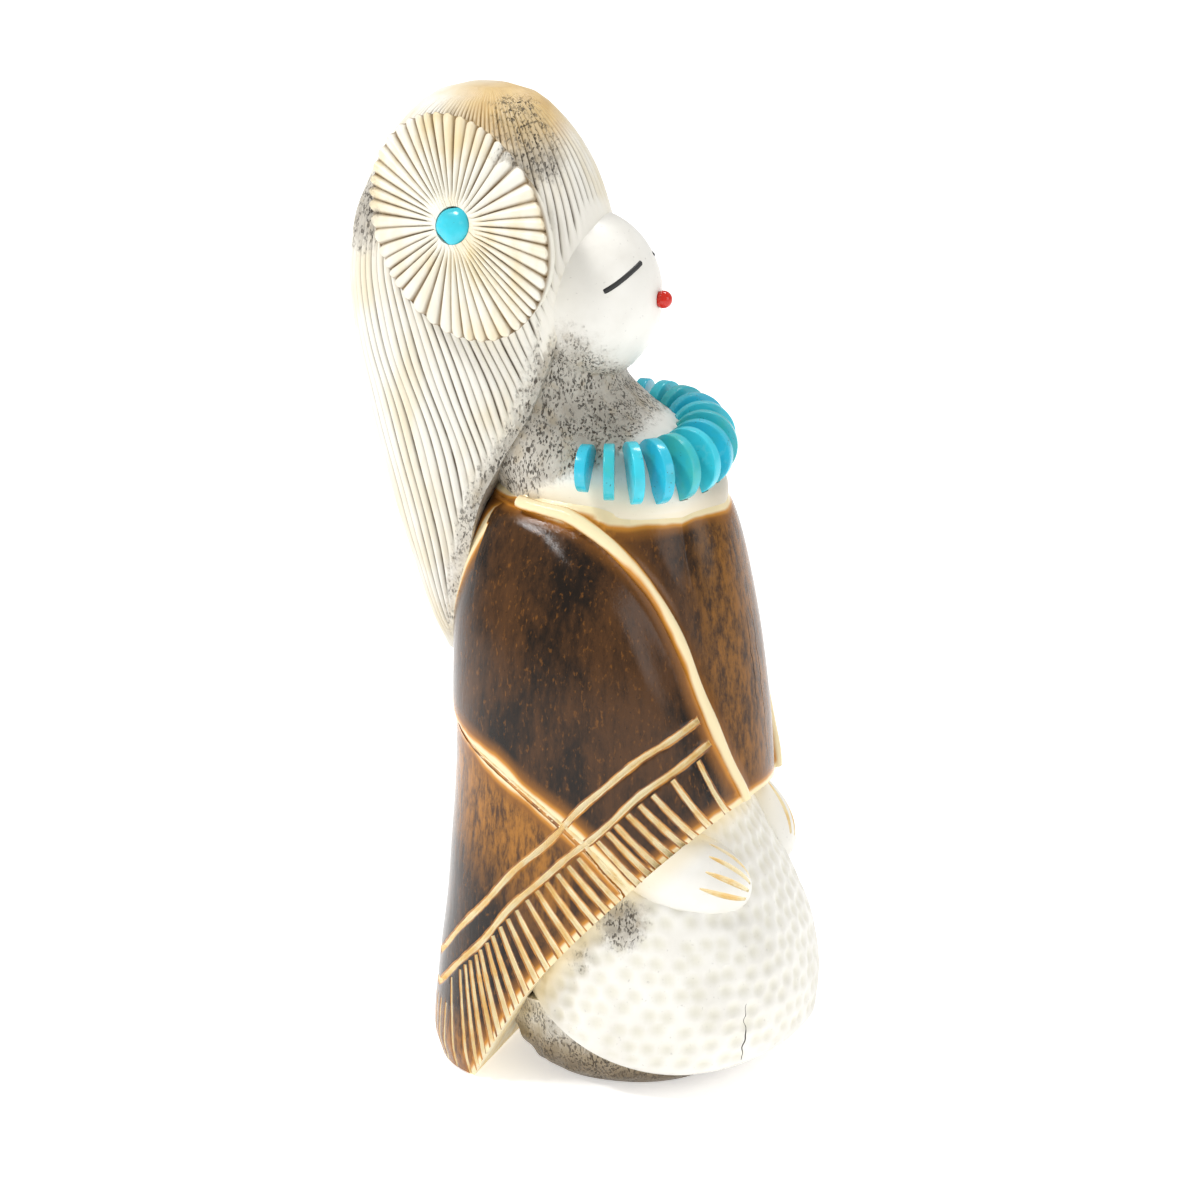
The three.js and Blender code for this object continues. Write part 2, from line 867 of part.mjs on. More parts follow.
function stoneOutline() {
  const outline = [];
  const steps = 6;
  for (let i = 0; i <= steps; i += 1) {
    const angle = (Math.PI * i) / steps;
    outline.push(
      new THREE.Vector2(
        (STONE_LENGTH / 2) * Math.cos(angle),
        STONE_HEIGHT * Math.sin(angle) ** 0.8,
      ),
    );
  }
  outline.push(new THREE.Vector2(-STONE_LENGTH * 0.4, -STONE_ROOT));
  outline.push(new THREE.Vector2(STONE_LENGTH * 0.4, -STONE_ROOT));
  return outline;
}

function stoneGeometry() {
  const geometry = new THREE.ExtrudeGeometry(
    new THREE.Shape(stoneOutline()),
    {
      depth: STONE_THICKNESS - 2 * STONE_BEVEL,
      bevelThickness: STONE_BEVEL,
      bevelSize: STONE_BEVEL,
      bevelOffset: -STONE_BEVEL,
      bevelSegments: 1,
    },
  );
  geometry.translate(0, 0, -(STONE_THICKNESS / 2 - STONE_BEVEL));
  return geometry;
}

// The slot that one stone stands in, with room all round.
function slotGeometry() {
  const height = STONE_HEIGHT + STONE_ROOT + INLAY_GAP;
  const geometry = new THREE.BoxGeometry(
    STONE_LENGTH + 2 * INLAY_GAP,
    height,
    STONE_THICKNESS + 2 * INLAY_GAP,
  );
  geometry.translate(0, height / 2 - STONE_ROOT - INLAY_GAP, 0);
  return geometry;
}

// The line of one eye across the face.
function eyePath(side, overrun = 0) {
  const path = [];
  for (let i = 0; i <= EYE_STEPS; i += 1) {
    const share = i / EYE_STEPS + (overrun * (2 * i - EYE_STEPS)) / EYE_STEPS;
    const x = THREE.MathUtils.lerp(EYE_INNER[0], EYE_OUTER[0], share);
    const z = THREE.MathUtils.lerp(EYE_INNER[1], EYE_OUTER[1], share);
    const origin = new THREE.Vector3(side * x, FACE_CENTRE[1] + 2, z);
    path.push(surfaceAt(faceLevel, origin, new THREE.Vector3(0, -1, 0)));
  }
  return path;
}

function beadPlace() {
  const origin = new THREE.Vector3(0, FACE_CENTRE[1], BEAD_Z);
  const seat = surfaceAt(faceLevel, origin, new THREE.Vector3(0, -1, 0));
  return seat.point.addScaledVector(seat.normal, BEAD_PROUD);
}

function carvingSolid() {
  const hem = belowHem();
  let cloak = cloakForm.solid(36, 11);
  for (const side of [-1, 1])
    cloak = cloak.add(ellipsoid(SLEEVE_CENTRE, SLEEVE_RADII, side));
  for (const side of [-1, 1])
    cloak = cloak.add(
      roll(openingPath(side), OPENING_ROLL, 0.1),
    );
  cloak = cloak.add(chestForm.solid(24, 7)).subtract(hem);

  for (const side of [-1, 1]) {
    for (const [points, heightAt] of [
      [LOWER_BAND_POINTS, lowerBandZ],
      [UPPER_BAND_POINTS, upperBandZ],
      [OVERLAP_POINTS, overlapZ],
    ])
      cloak = cloak.subtract(
        vCutter(
          bandPath(side, points, heightAt),
          BAND_HALF_WIDTH,
          BAND_DEPTH,
        ),
      );
  }
  for (const cutter of fringeCutters()) cloak = cloak.subtract(cutter);

  const skirt = skirtForm.solid(32, 7).subtract(belowSkirt());
  let figure = cloak
    .add(skirt)
    .add(plugForm.solid(28, 4))
    .add(neckForm.solid(28, 7))
    .add(ellipsoid(FACE_CENTRE, FACE_RADII, 1, undefined, [20, 14]))
    .add(hairSolid());
  for (const side of [-1, 1]) {
    let hand = handSolid(side);
    for (const cutter of fingerCutters(side)) hand = hand.subtract(cutter);
    figure = figure.add(hand);
  }

  for (const rosette of Object.values(ROSETTES))
    figure = figure
      .add(rosetteSolid(rosette))
      .subtract(solidOf(dotGeometry(INLAY_GAP), rosetteMatrix(rosette)));

  for (const side of [-1, 1]) {
    figure = figure.subtract(
      bar(eyePath(side, 0.03),
        EYE_WIDTH / 2 + EYE_GAP,
        EYE_DEPTH + EYE_GAP,
        1.5,
      ),
    );
  }
  for (let i = 0; i < STONE_COUNT; i += 1)
    figure = figure.subtract(solidOf(slotGeometry(), stoneMatrix(i)));
  const socket = new THREE.SphereGeometry(BEAD_RADIUS + INLAY_GAP, 12, 8);
  const place = beadPlace();
  socket.translate(place.x, place.y, place.z);
  return largestBody(figure.subtract(solidOf(socket)).simplify(MERGE_TOLERANCE));
}

// The main body of a solid, without the crumbs that cuts leave.
function largestBody(solid) {
  return solid
    .decompose()
    .reduce((best, body) => (body.volume() > best.volume() ? body : best));
}

// A named mesh from a manifold-3d solid.
function meshOf(name, solid, material) {
  const made = solid.getMesh();
  const positions = new Float32Array(made.numVert * 3);
  for (let i = 0; i < made.numVert; i += 1)
    positions.set(
      made.vertProperties.subarray(i * made.numProp, i * made.numProp + 3),
      i * 3,
    );
  const geometry = new THREE.BufferGeometry();
  geometry.setAttribute("position", new THREE.BufferAttribute(positions, 3));
  geometry.setIndex(new THREE.BufferAttribute(made.triVerts, 1));
  geometry.computeVertexNormals();
  const mesh = new THREE.Mesh(geometry, material);
  mesh.name = name;
  return mesh;
}

// A named mesh that stands where a matrix says.
function placedMesh(name, geometry, material, matrix) {
  const mesh = new THREE.Mesh(geometry, material);
  mesh.name = name;
  mesh.applyMatrix4(matrix);
  return mesh;
}

const maiden = new THREE.Group();
maiden.name = "maiden";
maiden.add(meshOf("carving", carvingSolid(), COLORS.antler));

for (let i = 0; i < STONE_COUNT; i += 1) {
  const name = `necklace_stone_${String(i + 1).padStart(2, "0")}`;
  maiden.add(
    placedMesh(name, stoneGeometry(), COLORS.turquoise, stoneMatrix(i)),
  );
}

for (const [word, rosette] of Object.entries(ROSETTES)) {
  maiden.add(
    placedMesh(
      `rosette_stone_${word}`,
      dotGeometry(),
      COLORS.turquoise,
      rosetteMatrix(rosette),
    ),
  );
  maiden.add(
    meshOf(
      `eye_inlay_${word}`,
      bar(eyePath(rosette.side), EYE_WIDTH / 2, EYE_DEPTH, 0.05),
      COLORS.jet,
    ),
  );
}

const bead = new THREE.Mesh(
  new THREE.SphereGeometry(BEAD_RADIUS, 12, 8),
  COLORS.coral,
);
bead.name = "mouth_bead";
bead.position.copy(beadPlace());
maiden.add(bead);

const drawnHeight = HAIR_SECTIONS[HAIR_SECTIONS.length - 1][0];
maiden.scale.setScalar(FIGURE_HEIGHT / drawnHeight);

export default maiden;
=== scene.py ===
"""Dresses the antler maiden: one carved body with inlaid stones, on a pale floor.

Sizes are in millimetres and are turned into metres where a mesh is made. The figure
faces -Y, her right hand is towards -X, and she stands on z = 0.
"""

import logging
import math
from dataclasses import dataclass, field
from enum import IntEnum
from typing import Callable, Sequence

import bmesh
import bpy
import numpy as np
from mathutils import Matrix, Vector, kdtree


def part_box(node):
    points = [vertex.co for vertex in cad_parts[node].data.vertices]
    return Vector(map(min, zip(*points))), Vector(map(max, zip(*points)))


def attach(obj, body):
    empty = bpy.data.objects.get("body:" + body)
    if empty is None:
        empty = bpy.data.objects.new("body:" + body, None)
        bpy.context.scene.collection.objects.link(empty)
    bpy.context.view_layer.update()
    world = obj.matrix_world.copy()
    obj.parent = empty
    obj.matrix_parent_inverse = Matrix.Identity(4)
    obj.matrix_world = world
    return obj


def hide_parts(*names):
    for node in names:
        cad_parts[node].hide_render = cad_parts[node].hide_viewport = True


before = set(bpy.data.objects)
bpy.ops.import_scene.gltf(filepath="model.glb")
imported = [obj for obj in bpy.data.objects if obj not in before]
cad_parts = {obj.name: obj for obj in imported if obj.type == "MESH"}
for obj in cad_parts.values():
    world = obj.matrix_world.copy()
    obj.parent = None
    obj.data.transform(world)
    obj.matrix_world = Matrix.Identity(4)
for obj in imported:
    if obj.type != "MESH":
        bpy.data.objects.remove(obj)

log = logging.getLogger("maiden")

MM = 0.001
SECTION_ROUNDNESS = 2.25
SMOOTH_ANGLE = math.radians(34)
RIGHT, LEFT = -1, 1

# Reach of the cutting blocks, past the whole figure.
BEYOND = 60.0

# Half width and depth of the fine cracks.
CRACK_SIZE = (0.06, 0.3)

Array = np.ndarray
Triple = tuple[float, float, float]
Section = tuple[float, float, float, float]
Knot = tuple[float, float]
Path = tuple[Array, Array]
Face = tuple[int, ...]
Color = tuple[float, float, float]
Piece = bpy.types.Object
Material = bpy.types.Material
Socket = bpy.types.NodeSocket
Value = float | Socket
Paint = Color | Socket


class Surface(IntEnum):
    """The finishes on the carving, in the order of its material slots."""

    SKIN = 0
    HAIR = 1
    ROSETTE = 2
    CLOAK = 3
    GROOVE = 4
    CRACK = 5
    EDGE = 6


def smoothstep(low: float, high: float, value: Array) -> Array:
    """Eased ramp.

    Args:
        low: Value where the ramp starts, at 0.
        high: Value where it ends, at 1.
        value: Where it is read.

    Returns:
        The eased share, from 0 to 1.
    """
    share = np.clip((np.asarray(value, float) - low) / (high - low), 0.0, 1.0)
    return share * share * (3.0 - 2.0 * share)


def select_only(piece: Piece) -> None:
    """Deselects everything but one piece and makes it the active one.

    Args:
        piece: The piece.
    """
    bpy.ops.object.select_all(action="DESELECT")
    piece.select_set(True)
    bpy.context.view_layer.objects.active = piece


def apply_modifiers(piece: Piece) -> None:
    """Applies every modifier of a piece, in their order.

    Args:
        piece: The piece.
    """
    select_only(piece)
    for modifier in list(piece.modifiers):
        bpy.ops.object.modifier_apply(modifier=modifier.name)


def smooth_by_angle(piece: Piece, angle: float = SMOOTH_ANGLE) -> None:
    """Shades a piece smoothly, apart from its sharp edges."""
    select_only(piece)
    bpy.ops.object.shade_smooth_by_angle(angle=angle)


def place(piece: Piece, matrix: Matrix) -> None:
    """Moves a piece's vertices by a matrix whose place is in metres."""
    piece.data.transform(matrix)
    piece.data.update()


def copy_of(piece: Piece) -> Piece:
    """Copies a piece, with a mesh of its own.

    Args:
        piece: The piece to copy.

    Returns:
        The copy.
    """
    copy = piece.copy()
    copy.data = piece.data.copy()
    bpy.context.scene.collection.objects.link(copy)
    return copy


def new_sphere(
    segments: int, rings: int, radius: float, middle: Sequence[float] = (0, 0, 0)
) -> Piece:
    """Adds a ball that has its size and place in its mesh.

    Args:
        segments: Faces round it.
        rings: Faces from pole to pole.
        radius: Its radius in millimetres.
        middle: Its middle in millimetres.

    Returns:
        The ball.
    """
    bpy.ops.object.select_all(action="DESELECT")
    bpy.ops.mesh.primitive_uv_sphere_add(
        segments=segments,
        ring_count=rings,
        radius=radius * MM,
        location=(np.asarray(middle) * MM).tolist(),
    )
    bpy.ops.object.transform_apply(location=True, rotation=True, scale=True)
    return bpy.context.object


class Curve:
    """A smooth curve through knots that never overshoots them."""

    def __init__(self, at: Sequence[float], values: Sequence[float]) -> None:
        """Keeps the knots and works out the slope at each.

        Args:
            at: Rising places of the knots.
            values: The curve's value at each knot.
        """
        self.at = np.asarray(at, float)
        self.values = np.asarray(values, float)
        slope = np.diff(self.values) / np.diff(self.at)
        before = np.concatenate([slope[:1], slope])
        after = np.concatenate([slope, slope[-1:]])
        total = np.where(np.abs(before + after) < 1e-9, 1.0, before + after)
        self.slope = np.where(before * after > 0, 2 * before * after / total, 0.0)

    def __call__(self, place_: Array) -> Array:
        """Returns the curve's value at each place.

        Args:
            place_: Where it is read.

        Returns:
            The curve's values.
        """
        t = np.clip(np.asarray(place_, float), self.at[0], self.at[-1])
        i = np.clip(np.searchsorted(self.at, t, side="right") - 1, 0, len(self.at) - 2)
        step = self.at[i + 1] - self.at[i]
        s = (t - self.at[i]) / step
        rise = s * s * (3 - 2 * s)
        return (
            self.values[i] * (1 - rise)
            + self.values[i + 1] * rise
            + self.slope[i] * s * (1 - s) ** 2 * step
            + self.slope[i + 1] * s * s * (s - 1) * step
        )


def curve_through(knots: Sequence[Knot]) -> Curve:
    """Returns a curve through knots given as place and value."""
    table = np.asarray(knots, float)
    return Curve(table[:, 0], table[:, 1])


@dataclass
class Form:
    """An upright rounded form, given by level sections.

    Attributes:
        sections: From the bottom up: height, back y, front y and half width.
    """

    sections: Sequence[Section]

    def __post_init__(self) -> None:
        """Fits a curve through each column of the sections."""
        table = np.asarray(self.sections, float)
        self.low, self.high = float(table[0, 0]), float(table[-1, 0])
        self.back, self.front, self.half = (
            Curve(table[:, 0], column) for column in table.T[1:]
        )

    def radius(self, angle: Array, z: Array) -> Array:
        """Distance of the surface from the section's middle, by angle and height.

        Args:
            angle: Angles from the front.
            z: Heights.

        Returns:
            The distances.
        """
        depth = (self.back(z) - self.front(z)) / 2
        power = SECTION_ROUNDNESS
        total = (
            np.abs(np.sin(angle) / self.half(z)) ** power
            + np.abs(np.cos(angle) / depth) ** power
        )
        return total ** (-1 / power)

    def grid(self, rows: int, columns: int) -> Path:
        """Returns angles and heights all over the form, by row and column."""
        angle = np.linspace(-math.pi, math.pi, columns, endpoint=False)
        return tuple(np.meshgrid(angle, np.linspace(self.low, self.high, rows)))

    def middle(self, z: Array) -> Array:
        """The y of the section's middle at a height."""
        return (self.back(z) + self.front(z)) / 2

    def point(self, angle: Array, z: Array, inset: Array | float = 0.0) -> Array:
        """Points of the surface.

        Args:
            angle: Angles from the front, rising towards her left.
            z: Heights.
            inset: How far the points are pushed in.

        Returns:
            An array of points with x, y and z last.
        """
        angle, z = np.broadcast_arrays(np.asarray(angle, float), np.asarray(z, float))
        reach = self.radius(angle, z) - inset
        x = reach * np.sin(angle)
        y = self.middle(z) - reach * np.cos(angle)
        return np.stack([x, y, z], axis=-1)

    def normal(self, angle: Array, z: Array) -> Array:
        """Outward normals of the surface at angles and heights.

        Args:
            angle: Angles from the front.
            z: Heights.

        Returns:
            The normals.
        """
        nudge = 0.02
        across = self.point(angle + nudge, z) - self.point(angle - nudge, z)
        upward = self.point(angle, z + nudge) - self.point(angle, z - nudge)
        normal = np.cross(across, upward)
        return normal / np.linalg.norm(normal, axis=-1, keepdims=True)

    def line(self, angle: Array, z: Array, inset: float = 0.0) -> Path:
        """Returns a line's points, pushed in by inset, and the normals along it."""
        return self.point(angle, z, inset), self.normal(angle, z)

    def angle_at(self, side: int, y: Array, z: Array) -> Array:
        """The angle at which the surface on one side has a given y, at given heights.

        Args:
            side: RIGHT or LEFT.
            y: Places from front to back.
            z: Heights.

        Returns:
            The angles, below zero on her right.
        """
        y, z = np.broadcast_arrays(np.asarray(y, float), np.asarray(z, float))
        low, high = np.zeros(y.shape), np.full(y.shape, math.pi)
        for _ in range(34):
            middle = (low + high) / 2
            ahead = self.point(middle, z)[..., 1] < y
            low = np.where(ahead, middle, low)
            high = np.where(ahead, high, middle)
        return side * (low + high) / 2

    def outside(self, points: Array) -> Array:
        """Roughly how far points lie outside the form, in millimetres; negative inside.

        Args:
            points: Points in millimetres.

        Returns:
            The distances.
        """
        z = np.clip(points[:, 2], self.low, self.high)
        dy = self.middle(z) - points[:, 1]
        angle = np.arctan2(points[:, 0], dy)
        gap = np.hypot(points[:, 0], dy) - self.radius(angle, z)
        above = np.maximum(points[:, 2] - self.high, self.low - points[:, 2])
        return np.where(above > 0, np.hypot(np.maximum(gap, 0), above), gap)


@dataclass
class CloakForm(Form):
    """The cloak: swelling sleeves, a valley by its rolled edge, a step at its fold.

    Attributes:
        opening: The rolled edge, as heights and angles from the front in degrees.
        fold: The sleeve's edge over the back panel, as y and z seen from the side.
        sleeve_centre: Middle of the sleeve's ellipsoid on her left.
        sleeve_radii: Its radii.
        blend: Width over which sleeve and cloak flow together.
        valley: Depth of the valley behind the rolled edge.
        step: Depth of the step below the fold.
        mean_radius: Radius by which angles are turned into widths.
        fold_end: The y of the fold's front end.
        back_half: Half width of the part of the back over which the fold arches.
        back_arch: Height of that arch.
    """

    opening: Sequence[Knot]
    fold: Sequence[Knot]
    sleeve_centre: Triple = (8.0, 3.2, 36.0)
    sleeve_radii: Triple = (9.7, 13.2, 27.0)
    blend: float = 0.9
    valley: float = 0.9
    step: float = 0.4
    mean_radius: float = 15.0
    fold_end: float = -4.6
    back_half: float = 8.9
    back_arch: float = 1.9

    def __post_init__(self) -> None:
        """Fits curves to the sections, the rolled edge and the fold."""
        super().__post_init__()
        self.edge = curve_through([(z, math.radians(a)) for z, a in self.opening])
        self.fold_z = curve_through(self.fold)

    def radius(self, angle: Array, z: Array) -> Array:
        """Distance of the cloak or sleeve from the section's middle.

        Args:
            angle: Angles from the front.
            z: Heights.

        Returns:
            The distances.
        """
        body = super().radius(angle, z)
        cx, cy, cz = self.sleeve_centre
        rx, ry, rz = self.sleeve_radii
        dx, dy = np.abs(np.sin(angle)) / rx, -np.cos(angle) / ry
        ox, oy = -cx / rx, (self.middle(z) - cy) / ry
        a = dx * dx + dy * dy
        b = ox * dx + oy * dy
        c = ox * ox + oy * oy + ((z - cz) / rz) ** 2 - 1
        room = b * b - a * c
        sleeve = np.where(room > 0, (-b + np.sqrt(np.maximum(room, 0))) / a, 0.0)
        overlap = np.maximum(1 - np.abs(body - sleeve) / self.blend, 0)
        reach = np.maximum(body, sleeve) + self.blend / 4 * overlap**2
        return reach - self._valley(angle, z) - self._step(angle, z, reach)

    def _valley(self, angle: Array, z: Array) -> Array:
        """Returns how far the surface is pushed in beside the rolled edge.

        Args:
            angle: Angles from the front.
            z: Heights.

        Returns:
            The depths.
        """
        turn = np.abs(np.arctan2(np.sin(angle), np.cos(angle)))
        across = self.mean_radius
        slant = (self.edge(z + 0.2) - self.edge(z - 0.2)) / 0.4 * across
        gap = (turn - self.edge(z)) * across / np.hypot(1, slant)
        behind = smoothstep(0.3, 1.3, gap) * (1 - smoothstep(1.4, 5.5, gap))
        ahead = 0.45 * smoothstep(0.3, 1.1, -gap) * (1 - smoothstep(1.1, 3.2, -gap))
        fade = 0.3 + 0.7 * smoothstep(36, 50, z)
        return self.valley * (behind + ahead) * fade

    def _step(self, angle: Array, z: Array, reach: Array) -> Array:
        """Returns how far the back panel lies below the sleeve's edge.

        Args:
            angle: Angles from the front.
            z: Heights.
            reach: Distances from the section's middle.

        Returns:
            The depths.
        """
        x = reach * np.sin(angle)
        y = self.middle(z) - reach * np.cos(angle)
        gap = (self.fold_height(x, y) - z) * 0.8
        ahead = smoothstep(self.fold_end, self.fold_end + 1.2, y)
        below = smoothstep(-0.1, 0.35, gap) * (1 - smoothstep(3, 13, gap))
        return self.step * below * ahead

    def fold_height(self, x: Array, y: Array) -> Array:
        """Returns the fold's height, which arches a little across the back."""
        arch = 1 - np.clip(np.abs(x) / self.back_half, 0, 1) ** 2
        return self.fold_z(y) + self.back_arch * arch * (y > 15)


class Body:
    """Builds closed meshes in millimetres and joins or cuts them."""

    def __init__(self, finishes: Sequence[Material]) -> None:
        """Keeps the materials that every mesh made here has as its slots."""
        self.finishes = finishes

    def mesh(
        self, name: str, points: Array, faces: list[Face], surface: Surface
    ) -> Piece:
        """Makes an object from points and faces.

        Args:
            name: Name of the object.
            points: Points in millimetres.
            faces: Corner numbers of each face.
            surface: The finish of all its faces.

        Returns:
            The new object.
        """
        data = bpy.data.meshes.new(name)
        data.from_pydata((np.asarray(points) * MM).tolist(), [], faces)
        piece = bpy.data.objects.new(name, data)
        self.give_finishes(piece)
        data.polygons.foreach_set("material_index", [int(surface)] * len(faces))
        data.update()
        bpy.context.scene.collection.objects.link(piece)
        return piece

    def give_finishes(self, piece: Piece) -> None:
        """Gives a piece this maker's materials as its slots.

        Args:
            piece: The piece, whose slots are emptied first.
        """
        piece.data.materials.clear()
        for finish in self.finishes:
            piece.data.materials.append(finish)

    def loft(self, name: str, rings: Array, surface: Surface) -> Piece:
        """Skins rings of points into a closed mesh.

        Args:
            name: Name of the object.
            rings: Points by ring and column, anticlockwise seen from the last ring.
            surface: The finish of all its faces.

        Returns:
            The new object.
        """
        points, faces = skin(rings)
        return self.mesh(name, points, faces, surface)

    def lofts(self, name: str, stacks: Sequence[Array], surface: Surface) -> Piece:
        """Skins several stacks of rings, which don't touch, into one mesh.

        Args:
            name: Name of the object.
            stacks: Stacks of rings.
            surface: The finish of all its faces.

        Returns:
            The new object.
        """
        points: list[Array] = []
        faces: list[Face] = []
        for rings in stacks:
            start = sum(len(p) for p in points)
            more, corners = skin(rings)
            points.append(more)
            faces += [tuple(start + c for c in face) for face in corners]
        return self.mesh(name, np.concatenate(points), faces, surface)

    def prism(self, name: str, outline: Array, surface: Surface) -> Piece:
        """Makes a prism from side to side over an outline in y and z.

        Args:
            name: Name of the object.
            outline: Corners as y and z.
            surface: The finish of all its faces.

        Returns:
            The new object.
        """
        outline = np.asarray(outline, float)
        y, z = outline[:, 0], outline[:, 1]
        turn = np.sum(y * np.roll(z, -1) - z * np.roll(y, -1))
        if turn < 0:
            outline = outline[::-1]
        count = len(outline)
        points = [(s * BEYOND, *corner) for s in (RIGHT, LEFT) for corner in outline]
        faces: list[Face] = [
            tuple(range(count - 1, -1, -1)),
            tuple(range(count, 2 * count)),
        ]
        for i in range(count):
            j = (i + 1) % count
            faces.append((i, j, count + j, count + i))
        return self.mesh(name, np.array(points), faces, surface)

    def join(self, target: Piece, other: Piece) -> None:
        """Joins another closed mesh to the target and uses it up."""
        self._combine(target, other, "UNION")

    def cut(self, target: Piece, cutter: Piece) -> None:
        """Cuts a closed mesh out of the target and uses it up."""
        self._combine(target, cutter, "DIFFERENCE")

    @staticmethod
    def _combine(target: Piece, other: Piece, operation: str) -> None:
        """Applies one Boolean modifier and removes the other mesh.

        Args:
            target: The mesh that is kept.
            other: The mesh that is used up.
            operation: UNION or DIFFERENCE.
        """
        modifier = target.modifiers.new("combine", "BOOLEAN")
        modifier.operation = operation
        modifier.solver = "MANIFOLD"
        modifier.object = other
        apply_modifiers(target)
        bpy.data.objects.remove(other)


def skin(rings: Array) -> tuple[Array, list[Face]]:
    """Joins rings into a closed skin with a fan at each end.

    Args:
        rings: Points by ring and column, anticlockwise seen from the last ring.

    Returns:
        The points, and the corner numbers of each face.
    """
    count, size = rings.shape[:2]
    points = rings.reshape(-1, 3)
    ends = np.stack([rings[0].mean(axis=0), rings[-1].mean(axis=0)])
    faces: list[Face] = []
    for row in range(count - 1):
        for column in range(size):
            following = (column + 1) % size
            a, b = row * size + column, row * size + following
            faces.append((a, b, b + size, a + size))
    bottom, top = count * size, count * size + 1
    last = (count - 1) * size
    for column in range(size):
        following = (column + 1) % size
        faces.append((bottom, following, column))
        faces.append((top, last + column, last + following))
    return np.concatenate([points, ends]), faces


def sweep(
    points: Array,
    normals: Array,
    profile: Sequence[Knot],
    scale: Array | None = None,
) -> Array:
    """Carries a profile along a path on a surface.

    Args:
        points: The path.
        normals: The surface's normal at each of its points.
        profile: Corners as height and sideways place, anticlockwise from the path's end.
        scale: Size of the profile at each point, or None for 1 all along.

    Returns:
        Rings of points.
    """
    along = np.gradient(points, axis=0)
    along /= np.linalg.norm(along, axis=1, keepdims=True)
    sideways = np.cross(along, normals)
    sideways /= np.linalg.norm(sideways, axis=1, keepdims=True)
    size = np.ones(len(points)) if scale is None else np.asarray(scale, float)
    corners = np.asarray(profile, float)
    height = corners[None, :, 0] * size[:, None]
    across = corners[None, :, 1] * size[:, None]
    return (
        points[:, None, :]
        + height[..., None] * normals[:, None, :]
        + across[..., None] * sideways[:, None, :]
    )


def ball(rows: int, columns: int, margin: float) -> Array:
    """Makes the rings of a ball of radius 1.

    Args:
        rows: Rings from pole to pole.
        columns: Points of each ring.
        margin: Angle between a pole and the ring next to it, in radians.

    Returns:
        Rings of points.
    """
    tilt = np.linspace(-math.pi / 2 + margin, math.pi / 2 - margin, rows)
    turn = np.linspace(0, 2 * math.pi, columns, endpoint=False)
    turn, tilt = np.meshgrid(turn, tilt)
    x, y = np.cos(tilt) * np.cos(turn), np.cos(tilt) * np.sin(turn)
    return np.stack([x, y, np.sin(tilt)], axis=-1)


def v_profile(half_width: float, depth: float, flat: float = 0.25) -> list[Knot]:
    """Corners of a V whose bottom is flat over a share of its width, open above.

    Args:
        half_width: Half the width at the surface.
        depth: Its depth in millimetres.
        flat: Share that is flat.

    Returns:
        Corners as height and sideways place.
    """
    blunt = half_width * flat
    wide = half_width * 2 - blunt
    return [(-depth, -blunt), (depth, -wide), (depth, wide), (-depth, blunt)]


def round_profile(radius: float, lift: float, sides: int = 14) -> list[Knot]:
    """Corners of a circle, lifted from the surface."""
    turn = np.linspace(0, 2 * math.pi, sides, endpoint=False)
    return [(lift + radius * math.cos(t), radius * math.sin(t)) for t in turn]


